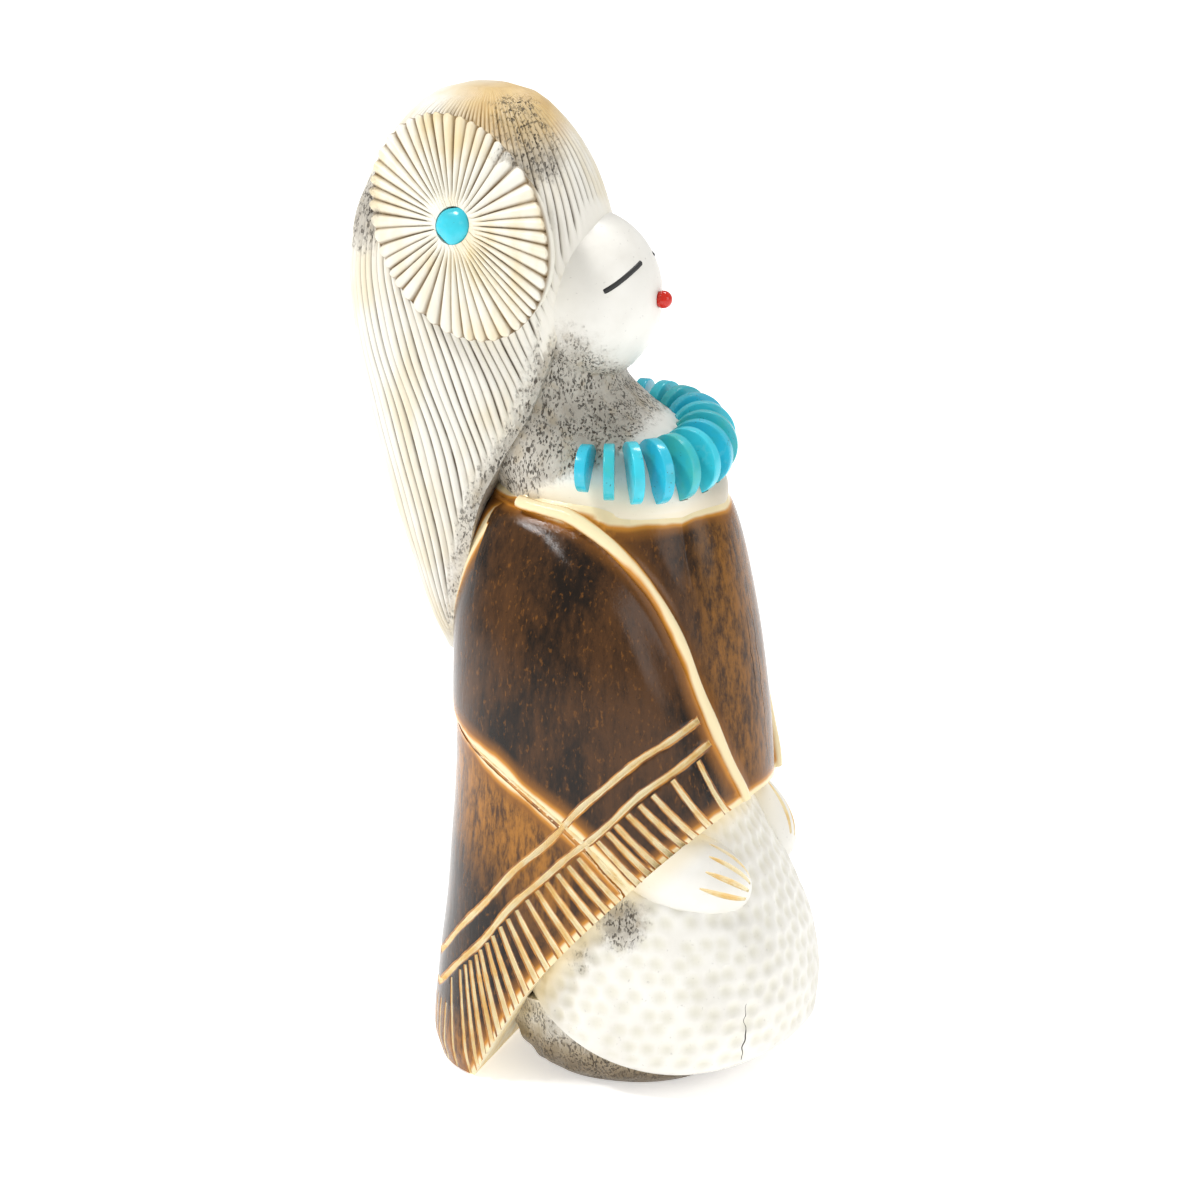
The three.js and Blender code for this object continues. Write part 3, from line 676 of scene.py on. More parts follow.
class Graph:
    """The nodes of one material, with short calls for those used here."""

    def __init__(self, name: str) -> None:
        """Starts a material with its shader and object coordinates in millimetres.

        Args:
            name: Name of the material.
        """
        self.material = bpy.data.materials.new(name)
        self.material.use_nodes = True
        self.tree = self.material.node_tree
        self.shader = self.tree.nodes["Principled BSDF"]
        coordinates = self.tree.nodes.new("ShaderNodeTexCoord")
        self.place = self.scaled(coordinates.outputs["Object"], (1000, 1000, 1000))

    def put(self, socket: Socket, value: Value | Color | Sequence[float]) -> None:
        """Links a socket to another one, or gives it a plain value.

        Args:
            socket: The socket.
            value: What it gets.
        """
        if isinstance(value, Socket):
            self.tree.links.new(value, socket)
        elif isinstance(value, tuple) and len(value) == 3 and socket.type == "RGBA":
            socket.default_value = (*value, 1.0)
        else:
            socket.default_value = value

    def scaled(self, vector: Socket, scale: Triple) -> Socket:
        """Returns a vector multiplied along each axis.

        Args:
            vector: The vector.
            scale: Factors by axis.

        Returns:
            The new vector.
        """
        node = self.tree.nodes.new("ShaderNodeVectorMath")
        node.operation = "MULTIPLY"
        self.put(node.inputs[0], vector)
        node.inputs[1].default_value = scale
        return node.outputs[0]

    def attribute(self, name: str) -> Socket:
        """Returns one of the piece's own float attributes.

        Args:
            name: Name of the attribute.

        Returns:
            Its value.
        """
        node = self.tree.nodes.new("ShaderNodeAttribute")
        node.attribute_name = name
        return node.outputs["Fac"]

    def noise(
        self,
        size: float,
        stretch: Triple = (1, 1, 1),
        detail: float = 3,
        roughness: float = 0.55,
        warp: float = 0.0,
    ) -> Socket:
        """Returns noise whose blotches are about size millimetres wide.

        Args:
            size: Size in millimetres.
            stretch: Factors on the coordinates, by axis.
            detail: Number of finer layers.
            roughness: Strength of the finer layers.
            warp: How much the noise is distorted.

        Returns:
            The noise, from 0 to 1.
        """
        node = self.tree.nodes.new("ShaderNodeTexNoise")
        self.put(node.inputs["Vector"], self.scaled(self.place, stretch))
        node.inputs["Scale"].default_value = 1 / size
        node.inputs["Detail"].default_value = detail
        node.inputs["Roughness"].default_value = roughness
        node.inputs["Distortion"].default_value = warp
        return node.outputs["Fac"]

    def cells(self, size: float, stretch: Triple = (1, 1, 1)) -> Socket:
        """Returns the distance to the nearest of points scattered size apart.

        Args:
            size: Size in millimetres.
            stretch: Factors on the coordinates, by axis.

        Returns:
            The distance, as a share of the size.
        """
        node = self.tree.nodes.new("ShaderNodeTexVoronoi")
        self.put(node.inputs["Vector"], self.scaled(self.place, stretch))
        node.inputs["Scale"].default_value = 1 / size
        return node.outputs["Distance"]

    def math(self, operation: str, first: Value, second: Value = 0.0) -> Socket:
        """Returns the result of one calculation.

        Args:
            operation: Name of the calculation.
            first: The first value.
            second: The second value.

        Returns:
            The result.
        """
        node = self.tree.nodes.new("ShaderNodeMath")
        node.operation = operation
        self.put(node.inputs[0], first)
        self.put(node.inputs[1], second)
        return node.outputs[0]

    def ramp(self, value: Socket, low: float, high: float) -> Socket:
        """Returns an eased ramp from 0 at low to 1 at high; low may be the larger.

        Args:
            value: The value.
            low: Where the ramp starts.
            high: Where it ends.

        Returns:
            The ramp's value.
        """
        node = self.tree.nodes.new("ShaderNodeMapRange")
        node.interpolation_type = "SMOOTHSTEP"
        self.put(node.inputs["Value"], value)
        start, end = (low, high) if low < high else (high, low)
        node.inputs["From Min"].default_value = start
        node.inputs["From Max"].default_value = end
        node.inputs["To Min"].default_value = 0.0 if low < high else 1.0
        node.inputs["To Max"].default_value = 1.0 if low < high else 0.0
        return node.outputs["Result"]

    def mix(self, share: Value, first: Paint, second: Paint) -> Socket:
        """Returns a colour between two others.

        Args:
            share: Share of the second colour.
            first: One colour.
            second: The other.

        Returns:
            The mixed colour.
        """
        node = self.tree.nodes.new("ShaderNodeMix")
        node.data_type = "RGBA"
        colors = [s for s in node.inputs if s.type == "RGBA"]
        self.put(node.inputs["Factor"], share)
        self.put(colors[0], first)
        self.put(colors[1], second)
        return next(s for s in node.outputs if s.type == "RGBA")

    def bump(self, height: Socket, depth: float) -> None:
        """Roughens the surface by a height of 0 to 1, depth millimetres deep.

        Args:
            height: The height, from 0 to 1.
            depth: Its depth in millimetres.
        """
        node = self.tree.nodes.new("ShaderNodeBump")
        node.inputs["Strength"].default_value = 1.0
        node.inputs["Distance"].default_value = depth * MM
        self.put(node.inputs["Height"], height)
        self.put(self.shader.inputs["Normal"], node.outputs["Normal"])

    def finish(self, color: Paint, roughness: Value) -> Material:
        """Sets the shader's colour and roughness and returns the material.

        Args:
            color: The colour.
            roughness: The roughness.

        Returns:
            The material.
        """
        self.put(self.shader.inputs["Base Color"], color)
        self.put(self.shader.inputs["Roughness"], roughness)
        return self.material


@dataclass(frozen=True)
class Pores:
    """The antler's open pores over mottled grey and yellow ground.

    Attributes:
        dark: Darkest colour of the ground.
        light: Its lightest colour.
        yellow: Colour of its yellow patches.
        ochre: Its colour where the piece's amber attribute is high.
        pit: Colour down in the pores.
        fine: Size of the finest pores, in millimetres.
        small: Distance between the small ones.
        large: Distance between the large ones.
    """

    dark: Color = (0.25, 0.215, 0.165)
    light: Color = (0.66, 0.62, 0.54)
    yellow: Color = (0.36, 0.27, 0.14)
    ochre: Color = (0.62, 0.45, 0.20)
    pit: Color = (0.075, 0.058, 0.04)
    fine: float = 0.3
    small: float = 0.36
    large: float = 0.85

    def lay(self, graph: Graph, color: Socket) -> tuple[Socket, Socket]:
        """Lays the pores over a colour where the piece's porous attribute says.

        Args:
            graph: The material's nodes.
            color: The colour without pores.

        Returns:
            The colour with pores, and how deep the pores are, from 0 to 1.
        """
        ground = graph.mix(graph.noise(1.4, detail=5), self.dark, self.light)
        yellow = graph.ramp(graph.noise(2.0, (1.3, 1, 1)), 0.50, 0.7)
        ground = graph.mix(graph.math("MULTIPLY", yellow, 0.5), ground, self.yellow)
        ochre = graph.math("MULTIPLY", graph.attribute("amber"), 0.8)
        ground = graph.mix(ochre, ground, self.ochre)
        fine = graph.noise(self.fine, (1, 1, 0.5), detail=4, warp=0.5)
        small = graph.ramp(graph.cells(self.small, (1, 1, 0.45)), 0.30, 0.14)
        large = graph.ramp(graph.cells(self.large, (1.2, 1.2, 0.5)), 0.2, 0.1)
        pits = graph.math("MAXIMUM", graph.ramp(fine, 0.54, 0.64), small)
        pits = graph.math("MAXIMUM", pits, large)
        pits = graph.math("MULTIPLY", pits, graph.ramp(graph.noise(1.6), 0.32, 0.62))
        ragged = graph.math("MULTIPLY", graph.noise(1.1, detail=6, roughness=0.75), 1.2)
        edge = graph.math("ADD", graph.attribute("porous"), ragged)
        here = graph.ramp(edge, 0.78, 1.5)
        pores = graph.math("MULTIPLY", pits, here)
        stained = graph.mix(graph.math("MULTIPLY", here, 0.9), color, ground)
        return graph.mix(pores, stained, self.pit), pores


@dataclass(frozen=True)
class Skin:
    """Polished off-white antler, with pores where the antler's core shows; painted shade
    darkens the skirt's dimples and the foot under the skirt.
    """

    pale: Color = (0.87, 0.85, 0.79)
    dull: Color = (0.70, 0.67, 0.60)
    # Painted shade in the skirt's dimples.
    dimple_shade: Color = (0.66, 0.63, 0.47)
    speck: Color = (0.40, 0.38, 0.35)
    cream: Color = (0.86, 0.72, 0.44)
    # Painted shade on the foot under the skirt's overhang, near black at the floor.
    foot_shade_dark: Color = (0.02, 0.013, 0.008)
    foot_shade_light: Color = (0.22, 0.155, 0.09)
    roughness: float = 0.36

    def build(self) -> Material:
        """Makes the material.

        Returns:
            The material.
        """
        graph = Graph("polished_antler")
        cloudy = graph.ramp(graph.noise(7.0, detail=4), 0.38, 0.78)
        color = graph.mix(graph.math("MULTIPLY", cloudy, 0.6), self.pale, self.dull)
        # Painted shade in the skirt's dimples, darker and yellower where they are deep.
        color = graph.mix(graph.attribute("dimple_shade"), color, self.dimple_shade)
        speck = graph.ramp(graph.noise(0.5, detail=4), 0.66, 0.72)
        color = graph.mix(graph.math("MULTIPLY", speck, 0.35), color, self.speck)
        near = graph.ramp(graph.attribute("line_gap"), 3.4, 0.4)
        color = graph.mix(graph.math("MULTIPLY", near, 0.5), color, self.cream)
        color, pores = Pores().lay(graph, color)
        # Painted shade under the skirt, strongest near the floor, where the amber
        # attribute marks the foot.
        foot_shade = graph.mix(graph.noise(0.8, detail=5), self.foot_shade_dark, self.foot_shade_light)
        foot_shade_weight = graph.math("MULTIPLY", graph.attribute("amber"), 0.92)
        color = graph.mix(foot_shade_weight, color, foot_shade)
        height = graph.math("SUBTRACT", 1.0, pores)
        graph.bump(height, 0.25)
        return graph.finish(color, self.roughness)


@dataclass(frozen=True)
class Cut:
    """Carved lines in antler: pale between them and tan down in them.

    Attributes:
        name: Name of the material.
        ridge: Colour between the lines.
        warm: Colour of the blotches between them.
        line: Colour down in them.
        bite: How deep in a line the colour starts to turn, as a share.
        roughness: Roughness of the whole.
        ochre: Lighter stain, where the piece's amber attribute is high.
        umber: Darker stain there.
    """

    name: str
    ridge: Color
    warm: Color
    line: Color
    bite: float
    roughness: float = 0.42
    ochre: Color = (0.76, 0.55, 0.22)
    umber: Color = (0.46, 0.27, 0.085)

    def build(self) -> Material:
        """Makes the material.

        Returns:
            The material.
        """
        graph = Graph(self.name)
        blotch = graph.ramp(graph.noise(5.0, (1, 1, 0.4)), 0.42, 0.72)
        color = graph.mix(graph.math("MULTIPLY", blotch, 0.85), self.ridge, self.warm)
        uneven = graph.math("MULTIPLY", graph.noise(2.6), 0.9)
        strength = graph.math("ADD", uneven, 0.45)
        depth = graph.ramp(graph.attribute("groove"), self.bite, 1.0)
        share = graph.math("MINIMUM", graph.math("MULTIPLY", depth, strength), 1.0)
        color = graph.mix(share, color, self.line)
        stain = graph.mix(graph.noise(1.6, detail=4), self.ochre, self.umber)
        color = graph.mix(graph.attribute("amber"), color, stain)
        color, pores = Pores().lay(graph, color)
        grain = graph.math("MULTIPLY", graph.noise(0.5, (1, 1, 0.3)), 0.15)
        graph.bump(graph.math("SUBTRACT", grain, pores), 0.25)
        return graph.finish(color, self.roughness)


@dataclass(frozen=True)
class StainedCloak:
    """Antler stained brown and polished, glowing orange towards every carved line."""

    dark: Color = (0.013, 0.008, 0.005)
    brown: Color = (0.085, 0.036, 0.012)
    amber: Color = (0.27, 0.105, 0.018)
    honey: Color = (0.40, 0.165, 0.025)
    orange: Color = (0.62, 0.26, 0.035)
    cream: Color = (0.90, 0.76, 0.47)
    roughness: float = 0.16
    specular: float = 0.26

    def build(self) -> Material:
        """Makes the material.

        Returns:
            The material.
        """
        graph = Graph("stained_antler")
        grain = graph.noise(0.9, (1, 1, 0.3), detail=6, roughness=0.75)
        cloud = graph.noise(9.0, (1, 1, 0.5), detail=3)
        tone = graph.math("ADD", graph.math("MULTIPLY", grain, 0.6), cloud)
        color = graph.mix(graph.ramp(tone, 0.64, 0.98), self.dark, self.brown)
        fleck = graph.ramp(graph.noise(0.45, (1, 1, 0.5), detail=4), 0.57, 0.72)
        color = graph.mix(graph.math("MULTIPLY", fleck, 0.45), color, self.amber)
        speck = graph.ramp(graph.noise(0.32, (1, 1, 0.6)), 0.66, 0.72)
        color = graph.mix(graph.math("MULTIPLY", speck, 0.6), color, self.dark)
        lit = graph.math("MULTIPLY", graph.attribute("amber"), 0.95)
        warm = graph.mix(graph.ramp(grain, 0.36, 0.62), self.brown, self.honey)
        color = graph.mix(lit, color, warm)
        wander = graph.math("MULTIPLY", graph.math("SUBTRACT", cloud, 0.5), 2.0)
        gap = graph.math("ADD", graph.attribute("line_gap"), wander)
        color = graph.mix(graph.ramp(gap, 2.8, 1.0), color, self.amber)
        color = graph.mix(graph.ramp(gap, 1.5, 0.85), color, self.orange)
        color = graph.mix(graph.ramp(gap, 1.0, 0.55), color, self.cream)
        dull = graph.math("MULTIPLY", grain, 0.16)
        graph.bump(grain, 0.04)
        graph.put(graph.shader.inputs["Specular IOR Level"], self.specular)
        return graph.finish(color, graph.math("ADD", dull, self.roughness - 0.08))


@dataclass(frozen=True)
class BareLine:
    """Bare antler down in the cloak's carved lines, cream with yellow patches."""

    cream: Color = (0.93, 0.84, 0.60)
    yellow: Color = (0.88, 0.66, 0.30)
    roughness: float = 0.5

    def build(self) -> Material:
        """Makes the material.

        Returns:
            The material.
        """
        graph = Graph("bare_antler_line")
        patch = graph.ramp(graph.noise(2.2, detail=4), 0.40, 0.70)
        color = graph.mix(patch, self.cream, self.yellow)
        graph.bump(graph.noise(0.5), 0.08)
        return graph.finish(color, self.roughness)


@dataclass(frozen=True)
class WornEdge:
    """The orange edge along a carved line, where the stain is worn through."""

    orange: Color = (0.55, 0.23, 0.035)
    brown: Color = (0.24, 0.09, 0.02)
    roughness: float = 0.35

    def build(self) -> Material:
        """Makes the material.

        Returns:
            The material.
        """
        graph = Graph("worn_edge")
        patch = graph.ramp(graph.noise(1.8, detail=3), 0.36, 0.62)
        return graph.finish(graph.mix(patch, self.brown, self.orange), self.roughness)


@dataclass(frozen=True)
class Plain:
    """A finish with one colour and gloss.

    Attributes:
        name: Name of the material.
        color: Its colour.
        roughness: Its roughness.
    """

    name: str
    color: Color
    roughness: float

    def build(self) -> Material:
        """Makes the material."""
        return Graph(self.name).finish(self.color, self.roughness)


@dataclass(frozen=True)
class Turquoise:
    """Polished turquoise, blue to green, with specks and threads of dark matrix."""

    name: str = "turquoise"
    blue: Color = (0.035, 0.52, 0.70)
    green: Color = (0.05, 0.46, 0.46)
    pale: Color = (0.22, 0.68, 0.74)
    matrix: Color = (0.03, 0.06, 0.05)
    roughness: float = 0.2

    def build(self) -> Material:
        """Makes the material.

        Returns:
            The material.
        """
        graph = Graph(self.name)
        tint = graph.ramp(graph.noise(3.2, detail=3), 0.40, 0.68)
        color = graph.mix(graph.math("MULTIPLY", tint, 0.75), self.blue, self.green)
        pale = graph.ramp(graph.noise(1.3), 0.58, 0.8)
        color = graph.mix(graph.math("MULTIPLY", pale, 0.4), color, self.pale)
        specks = graph.ramp(graph.noise(0.55, detail=5, warp=1.5), 0.665, 0.71)
        color = graph.mix(specks, color, self.matrix)
        return graph.finish(color, self.roughness)


@dataclass
class Cloak:
    """The fringed cloak with its sleeves, rolled opening edge, bands and fringe."""

    sections: tuple[Section, ...] = (
        (0, 21.4, -9, 16.2), (3, 22.2, -12, 17.4), (10, 21.6, -13.2, 17.8),
        (20, 20.4, -14.0, 17.9), (30, 19.9, -14.4, 17.6), (40, 19.9, -12.8, 16.9),
        (48, 19.9, -11.0, 15.6), (55, 19.0, -9.8, 13.8), (60, 17.6, -8.8, 12.2),
        (63, 16.0, -8.0, 11.0), (65, 14.0, -6.6, 9.6),
    )
    chest_sections: tuple[Section, ...] = (
        (24, 4, -13.6, 8.0), (31, 4, -14.7, 8.8), (38, 4, -14.3, 9.0),
        (46, 4, -13.4, 8.8), (54, 4, -12.0, 8.4), (61, 4, -10.2, 7.6),
        (65, 4, -8.0, 6.2),
    )
    hem: tuple[Knot, ...] = (
        (-24, 36), (-14.6, 31.9), (-12.2, 30.6), (-7.8, 27.0), (-3.1, 22.5),
        (2.6, 16.6), (6.9, 11.5), (11.7, 4.0), (14.4, -0.6), (24, -20),
    )
    opening: tuple[Knot, ...] = (
        (31.5, 19), (36, 26), (43, 34), (50, 41), (56, 52), (60.6, 70), (63, 96),
        (63.4, 124),
    )
    lower_band: tuple[Knot, ...] = (
        (-13.0, 40.2), (-11.0, 38.8), (-8.1, 36.6), (-5.1, 34.2), (-2.2, 31.4),
        (0.3, 28.9), (4.8, 24.9), (9.6, 19.9), (13.1, 15.6), (19.7, 8.6),
    )
    upper_band: tuple[Knot, ...] = (
        (-12.6, 42.9), (-10.4, 41.8), (-7.2, 39.6), (-3.6, 37.0), (-0.1, 33.8),
        (3.5, 29.8), (8.9, 24.4), (14, 18.6), (19.7, 12.0),
    )
    fold: tuple[Knot, ...] = (
        (-4.6, 23.0), (-1.2, 26.9), (3.2, 30.8), (10.3, 35.4), (18.4, 38.9),
    )
    fringe_lean: tuple[Knot, ...] = (
        (-12.5, 0.4), (-9, 0.85), (-3, 0.9), (3, 0.68), (8, 0.42), (12, 0.2),
        (16, 0.06), (20, 0),
    )
    fringe_pitch: float = 2.0
    fringe_gap: float = 0.9
    fringe_corner: float = 17.4
    back_fringe_count: int = 17
    back_fringe_top: float = 7.1
    roll_radius: float = 0.78
    roll_lift: float = 0.05
    line_cuts: tuple[tuple[Surface, float, float, float], ...] = (
        (Surface.EDGE, 0.50, 0.16, 0.25),
        (Surface.GROOVE, 0.34, 0.6, 0.6),
    )
    groove_cuts: tuple[tuple[Surface, float, float, float], ...] = (
        (Surface.EDGE, 0.5, 0.15, 0.25),
        (Surface.GROOVE, 0.32, 0.6, 0.6),
    )
    seed: int = 11

    def __post_init__(self) -> None:
        """Fits the forms and lines to their knots."""
        self.form = CloakForm(self.sections, self.opening, self.fold)
        self.chest = Form(self.chest_sections)
        self.lines: list[Array] = []
        self.hem_z = curve_through(self.hem)
        self.lean = curve_through(self.fringe_lean)

    def above_hem(self, points: Array) -> Array:
        """Distance of points above the slanting lower edge.

        Args:
            points: Points in millimetres.

        Returns:
            The distances, below zero under the edge.
        """
        y = points[:, 1]
        slope = (self.hem_z(y + 0.1) - self.hem_z(y - 0.1)) / 0.2
        return (points[:, 2] - self.hem_z(y)) / np.hypot(1, slope)

    def side_path(self, side: int, y: Array, z: Array) -> Path:
        """Returns the cloak's points and normals seen at y and z from one side.

        Args:
            side: RIGHT or LEFT.
            y: Places from front to back.
            z: Heights.

        Returns:
            The points and normals.
        """
        z = np.maximum(z, 0.05)
        y = np.minimum(y, self.form.back(z) - 0.15)
        angle = self.form.angle_at(side, y, z)
        return self.form.line(angle, z)

    def opening_path(self, side: int) -> Path:
        """Returns the rolled edge's points and normals.

        Args:
            side: RIGHT or LEFT.

        Returns:
            The points and normals.
        """
        t = np.linspace(0, len(self.opening) - 1, 90)
        degrees = curve_through([(i, a) for i, (_, a) in enumerate(self.opening)])(t)
        z = curve_through([(i, z) for i, (z, _) in enumerate(self.opening)])(t)
        angle = np.radians(degrees) * side
        return self.form.line(angle, z)

    def band_path(self, side: int, knots: Sequence[Knot]) -> Path:
        """Returns one carved band, from the rolled edge to the middle of the back.

        Args:
            side: RIGHT or LEFT.
            knots: The line, as y and z.

        Returns:
            The points and normals.
        """
        y = np.linspace(knots[0][0], knots[-1][0], 90)
        z = curve_through(knots)(y) + 0.12 * np.sin(y * 0.9)
        behind = np.abs(self.form.angle_at(side, y, z)) > self.form.edge(z) + 0.05
        points, normals = self.side_path(side, y[behind], z[behind])
        last = points[-1]
        turn = math.atan2(last[0], float(self.form.middle(last[2:])[0]) - last[1])
        angle = np.linspace(turn, side * math.pi, 24)[1:]
        z = last[2] - 0.8 * smoothstep(0, 1, np.linspace(0, 1, 24)[1:])
        points = np.concatenate([points, self.form.point(angle, z)])
        return points, np.concatenate([normals, self.form.normal(angle, z)])

    def fold_path(self, side: int) -> Path:
        """Returns the sleeve's edge, from the hem round to the middle of the back.

        Args:
            side: RIGHT or LEFT.

        Returns:
            The points and normals.
        """
        y = np.linspace(self.fold[0][0], self.fold[-1][0], 60)
        angle = self.form.angle_at(side, y, self.form.fold_z(y))
        round_back = np.linspace(angle[-1], side * math.pi, 20)[1:]
        angle = np.concatenate([angle, round_back])
        z = np.concatenate([self.form.fold_z(y), np.full(19, self.fold[-1][1])])
        for _ in range(6):
            points = self.form.point(angle, z)
            z = self.form.fold_height(points[:, 0], points[:, 1])
        return self.form.line(angle, z)

    def fringe_places(self) -> list[float]:
        """Returns places along the lower edge, a step apart, down to the ground.

        Returns:
            The y of each place.
        """
        y = np.arange(self.fringe_lean[0][0], self.fringe_corner, 0.02)
        z = np.maximum(self.hem_z(y), 0)
        pitch = self.fringe_pitch * (0.7 + 0.3 * smoothstep(-6, 4, y[1:]))
        walked = np.cumsum(np.hypot(np.diff(y), np.diff(z)) / pitch)
        walked = np.concatenate([[0], walked])
        stops = np.arange(0, walked[-1], 1.0)
        return np.interp(stops, walked, y).tolist()

    def fringe_path(self, side: int, y: float) -> Path:
        """Returns one groove of the fringe that starts at y on the lower edge.

        Args:
            side: RIGHT or LEFT.
            y: Where it starts.

        Returns:
            The points and normals.
        """
        lean = float(self.lean(y))
        start = max(float(self.hem_z(y)), 0.0)
        rise = np.arange(0, 30, 0.05)
        ceiling = curve_through(self.lower_band)(y + lean * rise) - self.fringe_gap
        top = rise[np.argmax(start + rise >= ceiling)]
        height = np.linspace(-1.2, top, 14)
        return self.side_path(side, y + lean * height, start + height)

    def back_fringe_path(self, index: int) -> Path:
        """Returns one upright groove of the fringe across the back.

        Args:
            index: Which one, from 0.

        Returns:
            The points and normals.
        """
        share = index / (self.back_fringe_count - 1) - 0.5
        corner = np.array([self.fringe_corner + 1.0]), np.array([2.0])
        edge = math.pi - abs(float(self.form.angle_at(LEFT, *corner)[0]))
        angle = math.pi - 2 * edge * share
        z = np.linspace(0.05, self.back_fringe_top, 12)
        points = self.form.point(angle, z)
        points[0, 2] = -1.0
        return points, self.form.normal(angle, z)

    def build(self, body: Body) -> Piece:
        """Builds the cloak with all its carved lines.

        Args:
            body: The maker of meshes.

        Returns:
            The cloak.
        """
        rings = self.form.point(*self.form.grid(112, 228))
        cloak = body.loft("cloak", rings, Surface.CLOAK)
        rings = self.chest.point(*self.chest.grid(60, 90))
        body.join(cloak, body.loft("chest", rings, Surface.CLOAK))
        for side in (RIGHT, LEFT):
            points, normals = self.opening_path(side)
            steps = np.arange(len(points))
            swell = np.interp(steps, [0, 20, 70, 89], [0.75, 0.85, 1.05, 0.9])
            swell += 0.06 * np.sin(steps * 0.37)
            profile = round_profile(self.roll_radius, self.roll_lift)
            roll = sweep(points, normals, profile, swell)
            body.join(cloak, body.loft("rolled_edge", roll, Surface.CLOAK))
            self.lines.append(points + 0.75 * normals)
        self._cut_lines(body, cloak)
        self._cut_fringe(body, cloak)
        y = np.linspace(self.hem[-1][0], self.hem[0][0], 90)
        outline = [(self.hem[0][0], -BEYOND), (self.hem[-1][0], -BEYOND)]
        outline += zip(y.tolist(), self.hem_z(y).tolist())
        body.cut(cloak, body.prism("below_hem", np.array(outline), Surface.GROOVE))
        return cloak

    def _cut_lines(self, body: Body, cloak: Piece) -> None:
        """Carves the two bands and the sleeve's edge on each side.

        Args:
            body: The maker of meshes.
            cloak: The cloak.
        """
        chance = np.random.default_rng(self.seed)
        for side in (RIGHT, LEFT):
            lower = self.band_path(side, self.lower_band)
            upper = self.band_path(side, self.upper_band)
            fold = self.fold_path(side)
            self.lines.append(fold[0])
            for points, normals in (lower, upper, fold):
                wave = np.arange(len(points)) * 0.5
                rough = chance.uniform(-0.05, 0.05, len(points))
                scale = 1 + 0.08 * np.sin(wave) + 0.05 * np.sin(2.7 * wave)
                widths = scale + rough, scale
                for (surface, *size), width in zip(self.line_cuts, widths):
                    rings = sweep(points, normals, v_profile(*size), width)
                    body.cut(cloak, body.loft("line", rings, surface))

    def _cut_fringe(self, body: Body, cloak: Piece) -> None:
        """Carves the fringe, side by side and then across the back.

        Args:
            body: The maker of meshes.
            cloak: The cloak.
        """
        chance = np.random.default_rng(self.seed)
        for side in (RIGHT, LEFT):
            paths = [
                self.fringe_path(side, y + chance.uniform(-0.1, 0.1))
                for y in self.fringe_places()
            ]
            self._cut_grooves(body, cloak, paths, chance)
        paths = [self.back_fringe_path(i) for i in range(self.back_fringe_count)]
        self._cut_grooves(body, cloak, paths, chance)

    def _cut_grooves(
        self,
        body: Body,
        cloak: Piece,
        paths: Sequence[Path],
        chance: np.random.Generator,
    ) -> None:
        """Carves grooves that narrow upwards, each with a worn edge.

        Args:
            body: The maker of meshes.
            cloak: The cloak.
            paths: The lines, each as points and normals.
            chance: The source of small differences.
        """
        for surface, *size in self.groove_cuts:
            stacks = []
            for points, normals in paths:
                scale = np.linspace(1.15, 0.7, len(points)) ** 0.8
                scale *= 1 - 0.4 * smoothstep(9, 17, points[0, 1])
                scale *= chance.uniform(0.94, 1.06, len(points))
                stacks.append(sweep(points, normals, v_profile(*size), scale))
            body.cut(cloak, body.lofts("grooves", stacks, surface))

    def cracks(self) -> list[Array]:
        """Returns the age cracks down the chest, ready to cut.

        Returns:
            One stack of rings for each.
        """
        stacks = []
        for place_, low, high in ((-0.06, 34, 56), (-0.24, 40, 52)):
            z = np.linspace(low, high, 30)
            angle = place_ + 0.012 * np.sin(z * 1.3) + 0.008 * np.sin(z * 2.9)
            fade = np.sin(np.linspace(0.25, math.pi - 0.1, 30))
            path = self.chest.line(angle, z)
            stacks.append(sweep(*path, v_profile(*CRACK_SIZE), fade))
        return stacks


